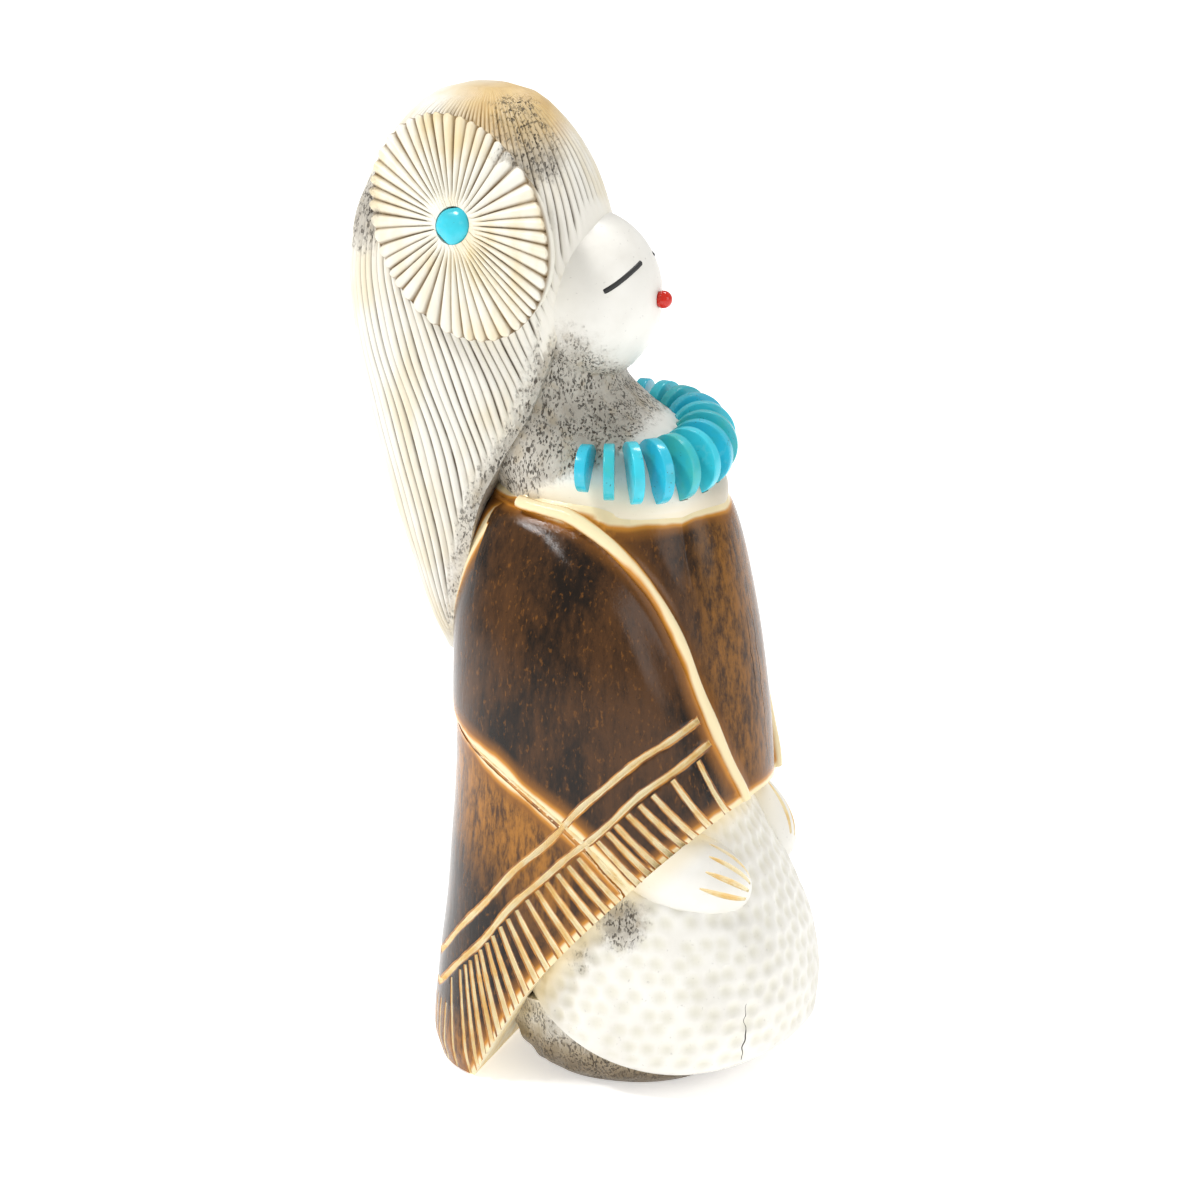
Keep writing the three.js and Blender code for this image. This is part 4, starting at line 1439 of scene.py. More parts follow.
@dataclass
class Skirt:
    """The dimpled skirt with the porous foot under it."""

    sections: tuple[Section, ...] = (
        (1.5, 12, -17.4, 15.6), (5, 12, -19.0, 16.6), (9, 12, -19.4, 17.0),
        (14, 12, -18.7, 16.8), (20, 12, -16.4, 15.8), (26, 12, -13.2, 13.8),
        (31, 11, -10.5, 11.5),
    )
    foot_sections: tuple[Section, ...] = (
        (0, 9.5, -10.2, 11.6), (1.2, 11.4, -11.8, 13.1), (4, 13.4, -13.2, 14.4),
        (9, 14.5, -13.6, 15.0),
    )
    low: tuple[float, float] = (-9.5, 3.0)
    arc: float = 0.021
    dimple_pitch: float = 2.15
    dimple_radius: float = 1.05
    dimple_depth: float = 0.3
    mean_radius: float = 15.2
    lump_depth: float = 0.22
    seed: int = 5

    def __post_init__(self) -> None:
        """Fits the forms to their sections."""
        self.form = Form(self.sections)
        self.foot = Form(self.foot_sections)

    def dimples(self, angle: Array, z: Array) -> Array:
        """Returns how far the round dimples push the skirt in.

        Args:
            angle: Angles from the front.
            z: Heights.

        Returns:
            The share of the full depth at each point.
        """
        chance = np.random.default_rng(self.seed)
        shifts = chance.uniform(-0.22, 0.22, (64, 128, 2))
        along = angle * self.mean_radius / self.dimple_pitch
        row_pitch = self.dimple_pitch * 0.87
        up = z / row_pitch
        row = np.floor(up)
        deepest = np.zeros(angle.shape)
        for row_step in (-1, 0, 1):
            r = row + row_step
            offset = (r % 2) * 0.5
            column = np.floor(along - offset)
            for column_step in (-1, 0, 1):
                c = column + column_step
                shift = shifts[r.astype(int) % 64, c.astype(int) % 128]
                dx = (along - offset - c - 0.5 - shift[..., 0]) * self.dimple_pitch
                dz = (up - r - 0.5 - shift[..., 1]) * row_pitch
                share = np.hypot(dx, dz) / self.dimple_radius
                deep = np.where(share < 1, (1 - share**2) ** 1.4, 0)
                deepest = np.maximum(deepest, deep)
        return deepest

    def build(self, body: Body) -> Piece:
        """Builds the skirt, cut to its curved lower edge, on its porous foot.

        Args:
            body: The maker of meshes.

        Returns:
            The skirt and foot as one mesh.
        """
        angle, z = self.form.grid(76, 264)
        fade = smoothstep(2.4, 4.2, z) * smoothstep(0.2, 1.2, z - self.edge_z(angle, z))
        inset = self.dimple_depth * self.dimples(angle, z) * fade
        rings = self.form.point(angle, z, inset)
        skirt = body.loft("skirt", rings, Surface.SKIN)
        y = np.linspace(30, -26, 57)
        outline = [(-26.0, -20.0), (30.0, -20.0)]
        outline += zip(y.tolist(), self.edge_height(y).tolist())
        body.cut(skirt, body.prism("below_skirt", np.array(outline), Surface.SKIN))

        angle, z = self.foot.grid(26, 200)
        lump = np.sin(angle * 9 + z * 0.8) * np.sin(angle * 23 - z * 1.7)
        inset = self.lump_depth + self.lump_depth * lump * smoothstep(0, 0.8, z)
        rings = self.foot.point(angle, z, inset)
        body.join(skirt, body.loft("foot", rings, Surface.SKIN))
        return skirt

    def edge_height(self, y: Array) -> Array:
        """Returns the height of the skirt's curved lower edge at y."""
        return self.low[1] + self.arc * (y - self.low[0]) ** 2

    def edge_z(self, angle: Array, z: Array) -> Array:
        """Returns the height of the skirt's lower edge below each point."""
        return self.edge_height(self.form.point(angle, z)[..., 1])

    def cracks(self) -> list[Array]:
        """Returns the fine upright crack in the front of the skirt, ready to cut.

        Returns:
            One stack of rings.
        """
        z = np.linspace(4.2, 11.5, 24)
        angle = -0.78 + 0.008 * np.sin(z * 1.9) + 0.006 * np.sin(z * 4.1)
        fade = np.sin(np.linspace(0.5, math.pi - 0.05, 24))
        path = self.form.line(angle, z, 0.12)
        return [sweep(*path, v_profile(*CRACK_SIZE), fade)]


@dataclass
class Head:
    """The face, the neck with its collar, and the long grooved hair."""

    neck_sections: tuple[Section, ...] = (
        (57, 15, -8.6, 9.4), (63, 15, -9.6, 10.4), (67.2, 17, -7.6, 10.0),
        (70, 18, -4.4, 9.1), (72.6, 19, -0.8, 8.0), (75.4, 20, 1.9, 7.6),
        (80, 20, 3.2, 7.8),
    )
    hair_sections: tuple[Section, ...] = (
        (44, 21.6, 15.0, 2.4), (48, 23.2, 13.6, 4.8), (54, 25.0, 11.6, 7.0),
        (60, 26.8, 9.6, 8.8), (66, 28.3, 7.6, 10.0), (72, 29.8, 5.6, 10.8),
        (79, 31.2, 3.4, 11.5), (86, 31.9, 2.6, 11.4), (91, 31.4, 3.4, 10.6),
        (96, 29.6, 4.8, 9.4), (100, 27.6, 6.8, 8.0), (103.4, 24.8, 9.6, 6.2),
        (105.2, 22.4, 11.8, 4.3), (106.1, 19.4, 14.4, 1.9),
    )
    hairline: tuple[Knot, ...] = (
        (18.8, 42), (18.2, 50), (16.6, 57), (15.2, 62), (12.2, 68), (9.4, 73),
        (7.2, 79), (5.0, 87), (3.4, 92.4), (2.6, 97),
    )
    face_centre: Triple = (0, 6.5, 84.0)
    face_radii: Triple = (8.6, 8.6, 9.4)
    flutes: int = 84
    flute_columns: int = 6
    flute_depth: float = 0.42
    sweep_forward: float = 1.2
    eye_inner: tuple[float, float] = (2.0, 88.6)
    eye_outer: tuple[float, float] = (6.9, 86.35)
    eye_bar: Triple = (-0.85, 1.0, 0.28)
    eye_radius: float = 0.32
    eye_sink: float = -0.22
    bead_z: float = 84.2
    bead_radius: float = 0.95
    bead_proud: float = 0.45
    bead_gap: float = 0.06

    def __post_init__(self) -> None:
        """Fits the forms to their sections."""
        self.neck = Form(self.neck_sections)
        self.hair = Form(self.hair_sections)
        self.line_y = curve_through([(z, y) for y, z in self.hairline])

    def neck_inset(self, angle: Array, z: Array) -> Array:
        """Returns how far the neck is pushed in where the neckline dips."""
        turn = (np.abs(angle) - 0.52) / 0.38
        return 2.0 * np.exp(-(turn**2)) * np.exp(-(((z - 58.0) / 4.5) ** 2))

    def lock_angle(self, angle: Array, z: Array) -> Array:
        """Returns the angle of a lock of hair, swept forwards as it falls."""
        bend = 0.98 + self.sweep_forward * smoothstep(0, 1, (91 - z) / 36)
        return np.sign(angle) * math.pi * (np.abs(angle) / math.pi) ** bend

    def face_point(self, side: int, x: Array, z: Array) -> Array:
        """Returns points on the front of the face.

        Args:
            side: RIGHT or LEFT.
            x: Places from side to side.
            z: Heights.

        Returns:
            The points.
        """
        rx, ry, rz = self.face_radii
        room = 1 - (np.asarray(x) / rx) ** 2 - ((z - self.face_centre[2]) / rz) ** 2
        y = self.face_centre[1] - ry * np.sqrt(np.maximum(room, 0))
        return np.stack([side * np.asarray(x), y, z], axis=-1)

    def face_normal(self, points: Array) -> Array:
        """Returns the face's outward normals at points on it.

        Args:
            points: Points in millimetres.

        Returns:
            The normals.
        """
        radii = np.asarray(self.face_radii)
        normal = (points - np.asarray(self.face_centre)) / radii**2
        return normal / np.linalg.norm(normal, axis=-1, keepdims=True)

    def eye_path(self, side: int) -> Path:
        """Returns the line of one eye and the face's normals along it.

        Args:
            side: RIGHT or LEFT.

        Returns:
            The points and normals.
        """
        x = np.linspace(self.eye_inner[0], self.eye_outer[0], 28)
        z = np.linspace(self.eye_inner[1], self.eye_outer[1], 28)
        z += 0.25 * np.sin(np.linspace(0, math.pi, 28))
        points = self.face_point(side, x, z)
        return points, self.face_normal(points)

    def bead_place(self) -> Array:
        """Returns the middle of the mouth bead."""
        seat = self.face_point(LEFT, np.zeros(1), np.array([self.bead_z]))
        return (seat + self.bead_proud * self.face_normal(seat))[0]

    def hair_rings(self) -> Array:
        """Returns the rings of the hair with its grooves.

        Returns:
            Rings of points.
        """
        count = self.flutes * self.flute_columns
        share = np.linspace(0, 1, 64)
        z = self.hair.low + (self.hair.high - self.hair.low) * share
        angle = np.linspace(-math.pi, math.pi, count, endpoint=False)
        phase = np.abs(2 * ((np.arange(count) / self.flute_columns) % 1) - 1)
        lock = np.floor(np.arange(count) / self.flute_columns)
        strength = 0.75 + 0.25 * np.sin(lock * 2.3) * np.sin(lock * 0.7 + 1)
        angle, z = np.meshgrid(angle, z)
        swept = self.lock_angle(angle, z) + 0.010 * np.sin(z * 0.45 + angle * 5)
        surface = self.hair.point(swept, z)
        gap = surface[..., 1] - self.line_y(z)
        inside = (z > 95) | (gap > 1.1)
        band = np.where(z > 95, 1.0, smoothstep(1.2, 2.4, gap)) * inside
        crown = 1 - 0.8 * smoothstep(103.5, 105.8, z)
        groove = (1 - phase) ** 2.2 * strength * band * crown
        return self.hair.point(swept, z, self.flute_depth * groove)

    def build(self, body: Body) -> Piece:
        """Builds neck, face and hair.

        Args:
            body: The maker of meshes.

        Returns:
            The head as one mesh.
        """
        grid = self.neck.grid(60, 160)
        surface = self.neck.point(*grid, self.neck_inset(*grid))
        head = body.loft("neck", surface, Surface.SKIN)

        rings = ball(56, 88, 0.04) * np.array(self.face_radii) + self.face_centre
        body.join(head, body.loft("face", rings, Surface.SKIN))

        hair = body.loft("hair", self.hair_rings(), Surface.HAIR)
        (low_y, low_z), high_z = self.hairline[0], self.hairline[-1][1]
        z = np.linspace(low_z, high_z, 70)
        outline = [(-BEYOND, low_z - 6), (low_y, low_z - 6)]
        outline += zip(self.line_y(z).tolist(), z.tolist())
        outline.append((-BEYOND, high_z))
        body.cut(hair, body.prism("ahead_of_hair", np.array(outline), Surface.HAIR))
        body.join(head, hair)
        return head

    def cut_sockets(self, body: Body, figure: Piece) -> None:
        """Cuts the eye slots and the socket of the mouth bead.

        Args:
            body: The maker of meshes.
            figure: The figure.
        """
        deep, high, half = self.eye_bar
        profile = [(deep, -half), (high, -half), (high, half), (deep, half)]
        for side in (RIGHT, LEFT):
            points, normals = self.eye_path(side)
            ends = np.ones(len(points))
            ends[[0, -1]] = 0.86
            slot = sweep(points, normals, profile, ends)
            body.cut(figure, body.loft("eye_slot", slot, Surface.CRACK))
        socket = new_sphere(28, 18, self.bead_radius + self.bead_gap, self.bead_place())
        body.give_finishes(socket)
        body.cut(figure, socket)


@dataclass
class Rosette:
    """An oval disc over one ear, cut with rays, with a stone in its middle."""

    # The middle is given as on her left; angles are in degrees.
    side: int
    size: float
    centre: Triple
    radii: tuple[float, float] = (9.4, 13.2)
    thickness: float = 2.6
    crown: float = 1.0
    rays: int = 46
    ray_columns: int = 8
    ray_depth: float = 0.5
    backward: float = 11
    upward: float = 17
    lean: float = 17
    tilt: float = 25
    undercut: float = 0.84
    root: float = -3.4
    pit_radii: tuple[float, float] = (2.0, 2.05)
    pit_depth: float = 1.5
    seed: int = 3

    def matrix(self) -> Matrix:
        """Returns its placing in millimetres, with z as its outward axis.

        Returns:
            The placing.
        """
        backward = math.radians(self.backward)
        outward = Vector(
            (
                self.side * math.cos(backward),
                math.sin(backward),
                math.tan(math.radians(self.upward)),
            )
        ).normalized()
        up = Vector((0, math.sin(math.radians(self.lean)), 1))
        across = up.cross(outward).normalized()
        upright = outward.cross(across)
        turn = Matrix((across, upright, outward)).transposed().to_4x4()
        middle = Vector((self.side * self.centre[0], *self.centre[1:]))
        tilt = Matrix.Rotation(math.radians(-self.side * self.tilt), 4, "Z")
        return Matrix.Translation(middle) @ turn @ tilt

    def to_frame(self, points: Array) -> Array:
        """Returns points given on the disc as points in the frame."""
        matrix = np.array(self.matrix())
        return points @ matrix[:3, :3].T + matrix[:3, 3]

    def build(self, body: Body) -> Piece:
        """Builds the disc with its rays and the pit for its stone.

        Args:
            body: The maker of meshes.

        Returns:
            The disc.
        """
        chance = np.random.default_rng(self.seed)
        count = self.rays * self.ray_columns
        turn = np.linspace(0, 2 * math.pi, count, endpoint=False)
        ray = (np.arange(count) // self.ray_columns).astype(int)
        phase = np.abs(2 * ((np.arange(count) / self.ray_columns) % 1) - 1)
        start = chance.uniform(0.15, 0.24, self.rays)[ray]
        deep = chance.uniform(0.75, 1.1, self.rays)[ray]
        bend = 0.05 * np.sin(turn * 3 + 0.6) + 0.03 * np.sin(turn * 7)
        rim = [(0.985, 0.7, 0.0), (1.0, 0.3, 1.0)]
        face = [(share, 0.0, 1.0) for share in np.linspace(0.985, 0.235, 18)]
        back = self.undercut
        rings = [self._ring(back * self.size, turn + bend * back, self.root)]
        for share, drop, cut in (*rim, *face):
            reach = smoothstep(0, 1, (share - start) / 0.14)
            notch = (1 - phase) ** (1.9 + 0.6 * (1 - share)) * reach * deep * cut
            height = self.thickness - self.crown * share**2 - drop
            radial = share * self.size - 0.035 * notch * (share > 0.95)
            angle = turn + bend * share
            rings.append(self._ring(radial, angle, height - self.ray_depth * notch))
        pit = np.array(self.pit_radii)
        for height in (self.thickness - 0.02, self.thickness - self.pit_depth):
            rings.append(self._ring(1.0, turn, height, pit))
        disc = self.to_frame(np.stack(rings))
        return body.loft("rosette", disc, Surface.ROSETTE)

    def _ring(
        self,
        share: Array | float,
        angle: Array,
        height: Array | float,
        radii: Array | None = None,
    ) -> Array:
        """Makes one ring of the disc.

        Args:
            share: Its size as a share of the radii.
            angle: Angles of its points.
            height: Their heights.
            radii: Radii of the oval, or None for the rim's.

        Returns:
            The ring's points on the disc.
        """
        wide, long = self.radii if radii is None else radii
        x = share * wide * np.cos(angle)
        y = share * long * np.sin(angle)
        return np.stack([x, y, np.broadcast_to(height, x.shape)], axis=-1)


@dataclass
class Hand:
    """One mitt that comes out from under the cloak, with gouged finger lines."""

    side: int
    hem_z: Callable[[Array], Array]
    centre: Triple = (10.8, -8.3, 24.5)
    radii: Triple = (4.4, 8.0, 4.5)
    turn: float = 32
    dip: float = 24
    fingers: tuple[float, ...] = (22, 45, 68, 92)
    line_size: tuple[float, float] = (0.34, 0.45)
    overlap: float = 0.12

    def placing(self) -> Array:
        """Returns the turn of the hand as a matrix.

        Returns:
            The matrix.
        """
        dip = Matrix.Rotation(math.radians(self.dip), 3, "X")
        turn = Matrix.Rotation(self.side * math.radians(-self.turn), 3, "Z")
        return np.array(turn @ dip)

    def build(self, body: Body) -> Piece:
        """Builds the mitt and cuts its finger lines.

        Args:
            body: The maker of meshes.

        Returns:
            The hand.
        """
        place_ = self.placing()
        middle = np.array([self.side * self.centre[0], *self.centre[1:]])
        rings = (ball(34, 48, 0.05) * np.array(self.radii)) @ place_.T + middle
        hand = body.loft("hand", rings, Surface.SKIN)
        stacks = []
        for finger in self.fingers:
            y = self.radii[1] * np.linspace(-0.1, -0.88, 24)
            room = np.sqrt(1 - (y / self.radii[1]) ** 2)
            round_ = math.radians(finger)
            x = self.side * self.radii[0] * room * math.sin(round_)
            z = self.radii[2] * room * math.cos(round_)
            local = np.stack([x, y, z], axis=-1)
            normal = local / np.asarray(self.radii) ** 2
            normal /= np.linalg.norm(normal, axis=1, keepdims=True)
            fade = np.sin(np.linspace(0.1, math.pi * 0.9, 24)) ** 0.6
            path = local @ place_.T + middle, normal @ place_.T
            stacks.append(sweep(*path, v_profile(*self.line_size), fade))
        body.cut(hand, body.lofts("finger_lines", stacks, Surface.GROOVE))
        y = np.linspace(-22, 10, 50)
        outline = [(10.0, 80.0), (-22.0, 80.0)]
        outline += zip(y.tolist(), (self.hem_z(y) + self.overlap).tolist())
        body.cut(hand, body.prism("above_hem", np.array(outline), Surface.SKIN))
        return hand


@dataclass
class Necklace:
    """The string of half-moon stones round the collar."""

    count: int = 13
    spread: float = 88
    length: float = 7.4
    height: float = 3.5
    root: float = 1.3
    thickness: float = 1.15
    rounding: float = 0.54
    slope: float = 50
    ring: Triple = (-0.7, 2.9, 68.1)
    ring_radii: tuple[float, float] = (10.2, 9.8)
    tilt: float = 0.1
    lift: float = 1.2
    side_shrink: float = 0.3
    slot_scale: float = 1.01
    seed: int = 8

    def matrix(self, index: int) -> Matrix:
        """Returns the placing of one stone, in metres.

        Args:
            index: Which one, from 0.

        Returns:
            The placing.
        """
        share = 2 * index / (self.count - 1) - 1
        angle = math.radians(self.spread * share)
        slope = math.radians(self.slope)
        outward = Vector((math.sin(angle), -math.cos(angle), 0))
        down = outward * math.cos(slope) - Vector((0, 0, math.sin(slope)))
        standing = outward * math.sin(slope) + Vector((0, 0, math.cos(slope)))
        size = 1 - self.side_shrink * abs(share) ** 3
        turn = Matrix((down, standing, down.cross(standing))).transposed().to_4x4()
        x = self.ring[0] + self.ring_radii[0] * math.sin(angle)
        y = self.ring[1] - self.ring_radii[1] * math.cos(angle)
        z = self.ring[2] + self.lift * share**2 + self.tilt * x
        here = Matrix.Translation(Vector((x, y, z)) * MM)
        return here @ turn @ Matrix.Diagonal((size, size, 1, 1))

    def stone(self, finish: Material) -> Piece:
        """Models one half-moon: a disc that is cut across, drawn out and rounded.

        Args:
            finish: Its material.

        Returns:
            The stone, unplaced.
        """
        bpy.ops.object.select_all(action="DESELECT")
        bpy.ops.mesh.primitive_cylinder_add(
            vertices=56, radius=self.length / 2 * MM, depth=self.thickness * MM
        )
        stone = bpy.context.object
        stone.scale = (1, 2 * self.height / self.length, 1)
        bpy.ops.object.transform_apply(location=False, rotation=False, scale=True)
        bpy.ops.object.mode_set(mode="EDIT")
        bpy.ops.mesh.select_all(action="SELECT")
        bpy.ops.mesh.bisect(
            plane_co=(0, -self.root * MM, 0),
            plane_no=(0, 1, 0),
            clear_inner=True,
            use_fill=True,
        )
        bpy.ops.object.mode_set(mode="OBJECT")
        rounding = stone.modifiers.new("rounding", "BEVEL")
        rounding.width = self.rounding * MM
        rounding.segments = 5
        rounding.limit_method = "ANGLE"
        rounding.angle_limit = math.radians(40)
        apply_modifiers(stone)
        stone.data.materials.append(finish)
        smooth_by_angle(stone, math.radians(50))
        return stone

    def cut_slots(self, body: Body, figure: Piece, stone: Piece) -> None:
        """Cuts the slots that the stones stand in.

        Args:
            body: The maker of meshes.
            figure: The figure.
            stone: The stone that is copied.
        """
        for index in range(self.count):
            slot = copy_of(stone)
            body.give_finishes(slot)
            place(slot, self.matrix(index) @ Matrix.Scale(self.slot_scale, 4))
            body.cut(figure, slot)

    def place_stones(
        self,
        stone: Piece,
        riding: str,
        finishes: Sequence[Material],
    ) -> None:
        """Copies the stone to each slot, with small hand-cut differences.

        Args:
            stone: The stone that is copied.
            riding: The body that the stones ride on.
            finishes: The materials to choose from.
        """
        chance = np.random.default_rng(self.seed)
        for index in range(self.count):
            node = f"necklace_stone_{index + 1:02d}"
            piece = copy_of(stone)
            piece.name = f"{node}_half_moon"
            grown = Matrix.Diagonal((*chance.uniform(0.985, 1.0, 2), 1.0, 1.0))
            piece.data.materials[0] = finishes[index * 5 % len(finishes)]
            place(piece, self.matrix(index) @ grown)
            dress(piece, riding, "turquoise", node)
        bpy.data.objects.remove(stone)


def dress(piece: Piece, riding: str, slot: str, *nodes: str) -> None:
    """Ties a finished piece to its body and hides the nodes that it stands for.

    Args:
        piece: The finished piece.
        riding: The body it rides on.
        slot: Name of a material slot; not used.
        *nodes: The nodes that it replaces.
    """
    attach(piece, riding)
    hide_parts(*nodes)
    log.info("%s: %d vertices", piece.name, len(piece.data.vertices))


def carving_finishes() -> list[Material]:
    """Makes the carving's materials.

    Returns:
        The materials, in the order of Surface.
    """
    hair = Cut(
        name="grooved_hair",
        ridge=(0.84, 0.81, 0.73),
        warm=(0.78, 0.69, 0.50),
        line=(0.12, 0.088, 0.055),
        bite=0.26,
    )
    rosette = Cut(
        name="rayed_rosette",
        ridge=(0.87, 0.84, 0.74),
        warm=(0.82, 0.66, 0.36),
        line=(0.27, 0.18, 0.085),
        bite=0.35,
        roughness=0.38,
    )
    crack = Plain("dark_crack", (0.035, 0.02, 0.012), 0.8)
    order = (Skin(), hair, rosette, StainedCloak(), BareLine(), crack, WornEdge())
    return [finish.build() for finish in order]


def turquoise_finishes() -> list[Material]:
    """Makes the three tints of turquoise.

    Returns:
        The materials: middling, pale and green.
    """
    tints = (
        Turquoise("turquoise"),
        Turquoise("turquoise_pale", (0.05, 0.62, 0.76), (0.04, 0.50, 0.60)),
        Turquoise("turquoise_green", (0.04, 0.50, 0.58), (0.07, 0.50, 0.43)),
    )
    return [finish.build() for finish in tints]


@dataclass
class Maiden:
    """The whole figure."""

    cloak: Cloak = field(default_factory=Cloak)
    skirt: Skirt = field(default_factory=Skirt)
    head: Head = field(default_factory=Head)
    necklace: Necklace = field(default_factory=Necklace)
    right_rosette: Rosette = field(
        default_factory=lambda: Rosette(RIGHT, 1.0, (10.0, 16.2, 92.9))
    )
    left_rosette: Rosette = field(
        default_factory=lambda: Rosette(LEFT, 0.86, (9.4, 17.6, 91.6), rays=42)
    )
    riding: str = "root"
    porous_spots: tuple[tuple[Triple, float], ...] = (
        ((-6.5, 8.0, 101.5), 4.6), ((-9.5, 6.0, 95.0), 3.2), ((-5.0, 11.0, 104.5), 4.5),
        ((-8.5, 10.0, 100.0), 3.6), ((-6.5, 29.0, 93.0), 5.0), ((7.0, 8.5, 101.5), 4.0),
        ((-15.0, -3.0, 19.5), 3.4), ((-14.0, 1.0, 15.0), 2.6),
    )
    crown_stain: Triple = (-2.5, 12.5, 106.0)

    def build(self) -> None:
        """Builds the carving and then every inlay."""
        body = Body(carving_finishes())
        turquoises = turquoise_finishes()
        carving = self.cloak.build(body)
        log.info("cloak: %d vertices", len(carving.data.vertices))
        body.join(carving, self.skirt.build(body))
        body.join(carving, self.head.build(body))
        for side in (RIGHT, LEFT):
            body.join(carving, Hand(side, self.cloak.hem_z).build(body))
        for rosette in (self.right_rosette, self.left_rosette):
            body.join(carving, rosette.build(body))
        for stack in [*self.cloak.cracks(), *self.skirt.cracks()]:
            body.cut(carving, body.loft("crack", stack, Surface.CRACK))
        self.head.cut_sockets(body, carving)
        stone = self.necklace.stone(turquoises[0])
        self.necklace.cut_slots(body, carving, stone)
        keep_main_part(carving)
        self._keep_in_box(carving)
        self._add_attributes(carving)
        smooth_by_angle(carving)
        carving.name = "antler_carving"
        dress(carving, self.riding, "antler", "carving")

        self.necklace.place_stones(stone, self.riding, turquoises)
        rosettes = ((self.right_rosette, "right"), (self.left_rosette, "left"))
        for rosette, word in rosettes:
            self._rosette_stone(rosette, word, turquoises[1])
            self._eye(rosette.side, word)
        self._bead()

    def _keep_in_box(self, carving: Piece) -> None:
        """Presses the few points that pass the solid's box back onto it."""
        low, high = (np.array(corner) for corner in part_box("carving"))
        write_points(carving, np.clip(read_points(carving) * MM, low, high) / MM)

    def _add_attributes(self, carving: Piece) -> None:
        """Gives the carving the values that its finishes read.

        Args:
            carving: The carving.
        """
        points = read_points(carving)
        for name, values in (
            ("line_gap", self._line_gap(points)),
            ("groove", self._groove_depth(points)),
            ("porous", self._porous(points)),
            ("dimple_shade", self._dimple_shade(points)),
            # The amber attribute holds real stain and the painted shade on the foot.
            ("amber", self._stain_and_foot_shade(points)),
        ):
            write_attribute(carving, name, values)

    def _line_gap(self, points: Array) -> Array:
        """Returns the distance to the cloak's nearest edge or line.

        Args:
            points: Points in millimetres.

        Returns:
            The distances.
        """
        x, y, z = points.T
        neck = self.head.neck
        inset = self.head.neck_inset(np.arctan2(x, neck.middle(z) - y), z)
        neck_gap = np.abs(neck.outside(points) + inset)
        cloak_gap = np.abs(self.cloak.form.outside(points))
        chest_gap = np.abs(self.cloak.chest.outside(points))
        neck_gap = np.maximum(neck_gap, np.minimum(cloak_gap, chest_gap))
        hair_gap = np.abs(self.head.hair.outside(points)) + 0.2
        by_hair = (y > self.head.line_y(z) - 1.5) & (z > 45) & (z < 63)
        hair_gap = np.where(by_hair, hair_gap, 9.0)
        hem_gap = 1.2 * np.abs(self.cloak.above_hem(points)) + 0.1
        line_gap = gap_to(points, self.cloak.lines)
        return np.minimum.reduce([line_gap, 1.7 * neck_gap, hair_gap, hem_gap])

    def _groove_depth(self, points: Array) -> Array:
        """Returns how deep points lie in the hair's grooves or a rosette's rays.

        Args:
            points: Points in millimetres.

        Returns:
            The depths, from 0 to 1.
        """
        hair = -self.head.hair.outside(points) / (self.head.flute_depth * 0.85)
        depth = np.clip(hair, 0, 1)
        for rosette in (self.right_rosette, self.left_rosette):
            matrix = np.array(rosette.matrix().inverted())
            local = points @ matrix[:3, :3].T + matrix[:3, 3]
            share = np.hypot(*(local[:, :2] / rosette.radii).T) / rosette.size
            top = rosette.thickness - rosette.crown * share**2
            rayed = np.clip((top - local[:, 2]) / (rosette.ray_depth * 0.9), 0, 1)
            rayed *= share > 0.2
            on_disc = (share < 1.02) & (local[:, 2] > -0.5)
            depth = np.where(on_disc, rayed, depth)
        return depth

    def _porous(self, points: Array) -> Array:
        """Returns where the antler's porous core shows, from 0 to 1.

        Args:
            points: Points in millimetres.

        Returns:
            The weights.
        """
        x, y, z = points.T
        spots = np.zeros(len(points))
        for centre, radius in self.porous_spots:
            away = np.linalg.norm(points - np.array(centre), axis=1) / radius
            spots = np.maximum(spots, 1 - smoothstep(0.2, 1.35, away))
        off_rosettes = (np.abs(x) < 10.4) | (z < 80)
        behind_line = y - self.head.line_y(z)
        neck = smoothstep(-1.5, 2.0, z - 69 + 0.5 * y)
        neck *= smoothstep(-5.0, 1.5, y - 4 * smoothstep(73, 79, z))
        neck *= (1 - smoothstep(77, 86, z)) * (z > 60) * (behind_line < 0.8)
        border = 0.55 * (1 - smoothstep(1.0, 3.5, behind_line))
        border *= (z < 88) * (z > 45) * (y > 8)
        foot = 1 - smoothstep(-0.4, 0.3, self._above_skirt(points))
        foot *= (z < 12) * (1 - 0.35 * smoothstep(2.5, 6.0, z))
        return np.maximum.reduce([spots * off_rosettes, neck, foot, border])

    def _above_skirt(self, points: Array) -> Array:
        """Returns the height of points above the skirt's curved lower edge."""
        return points[:, 2] - self.skirt.edge_height(points[:, 1])

    def _dimple_shade(self, points: Array) -> Array:
        """Returns how deep points lie in the skirt's dimples, as a faint painted shade.

        Args:
            points: Points in millimetres.

        Returns:
            The weights.
        """
        deep = -self.skirt.form.outside(points) / self.skirt.dimple_depth
        on_skirt = (points[:, 2] < 30) & (self._above_skirt(points) > 0.2)
        return np.clip(deep, 0, 1) * on_skirt * (deep < 1.3) * 0.45

    def _stain_and_foot_shade(self, points: Array) -> Array:
        """Returns where stain shows on the lighter cloak and the ochre crown, and where
        painted shade darkens the foot under the skirt.

        Args:
            points: Points in millimetres.

        Returns:
            The weights.
        """
        x, y, z = points.T
        chest = 0.6 * smoothstep(6.0, 11.0, -y) * smoothstep(30, 36, z)
        chest *= 1 - smoothstep(6.0, 10.5, np.abs(x))
        below = self.cloak.form.fold_height(x, y) - z
        back = smoothstep(0.0, 1.5, below) * (1 - smoothstep(6.0, 17.0, below))
        back *= smoothstep(-2.0, 6.0, y)
        away = np.linalg.norm(points - np.array(self.crown_stain), axis=1)
        crown = 0.9 * (1 - smoothstep(3.5, 9.0, away))
        # Painted shade on the foot under the skirt's overhang, darkest near the floor.
        foot = 0.95 * (1 - smoothstep(-0.4, 0.3, self._above_skirt(points)))
        foot *= 1 - smoothstep(2.0, 6.5, z - 0.12 * (y - 4))
        return np.maximum.reduce([chest, back, crown, foot])

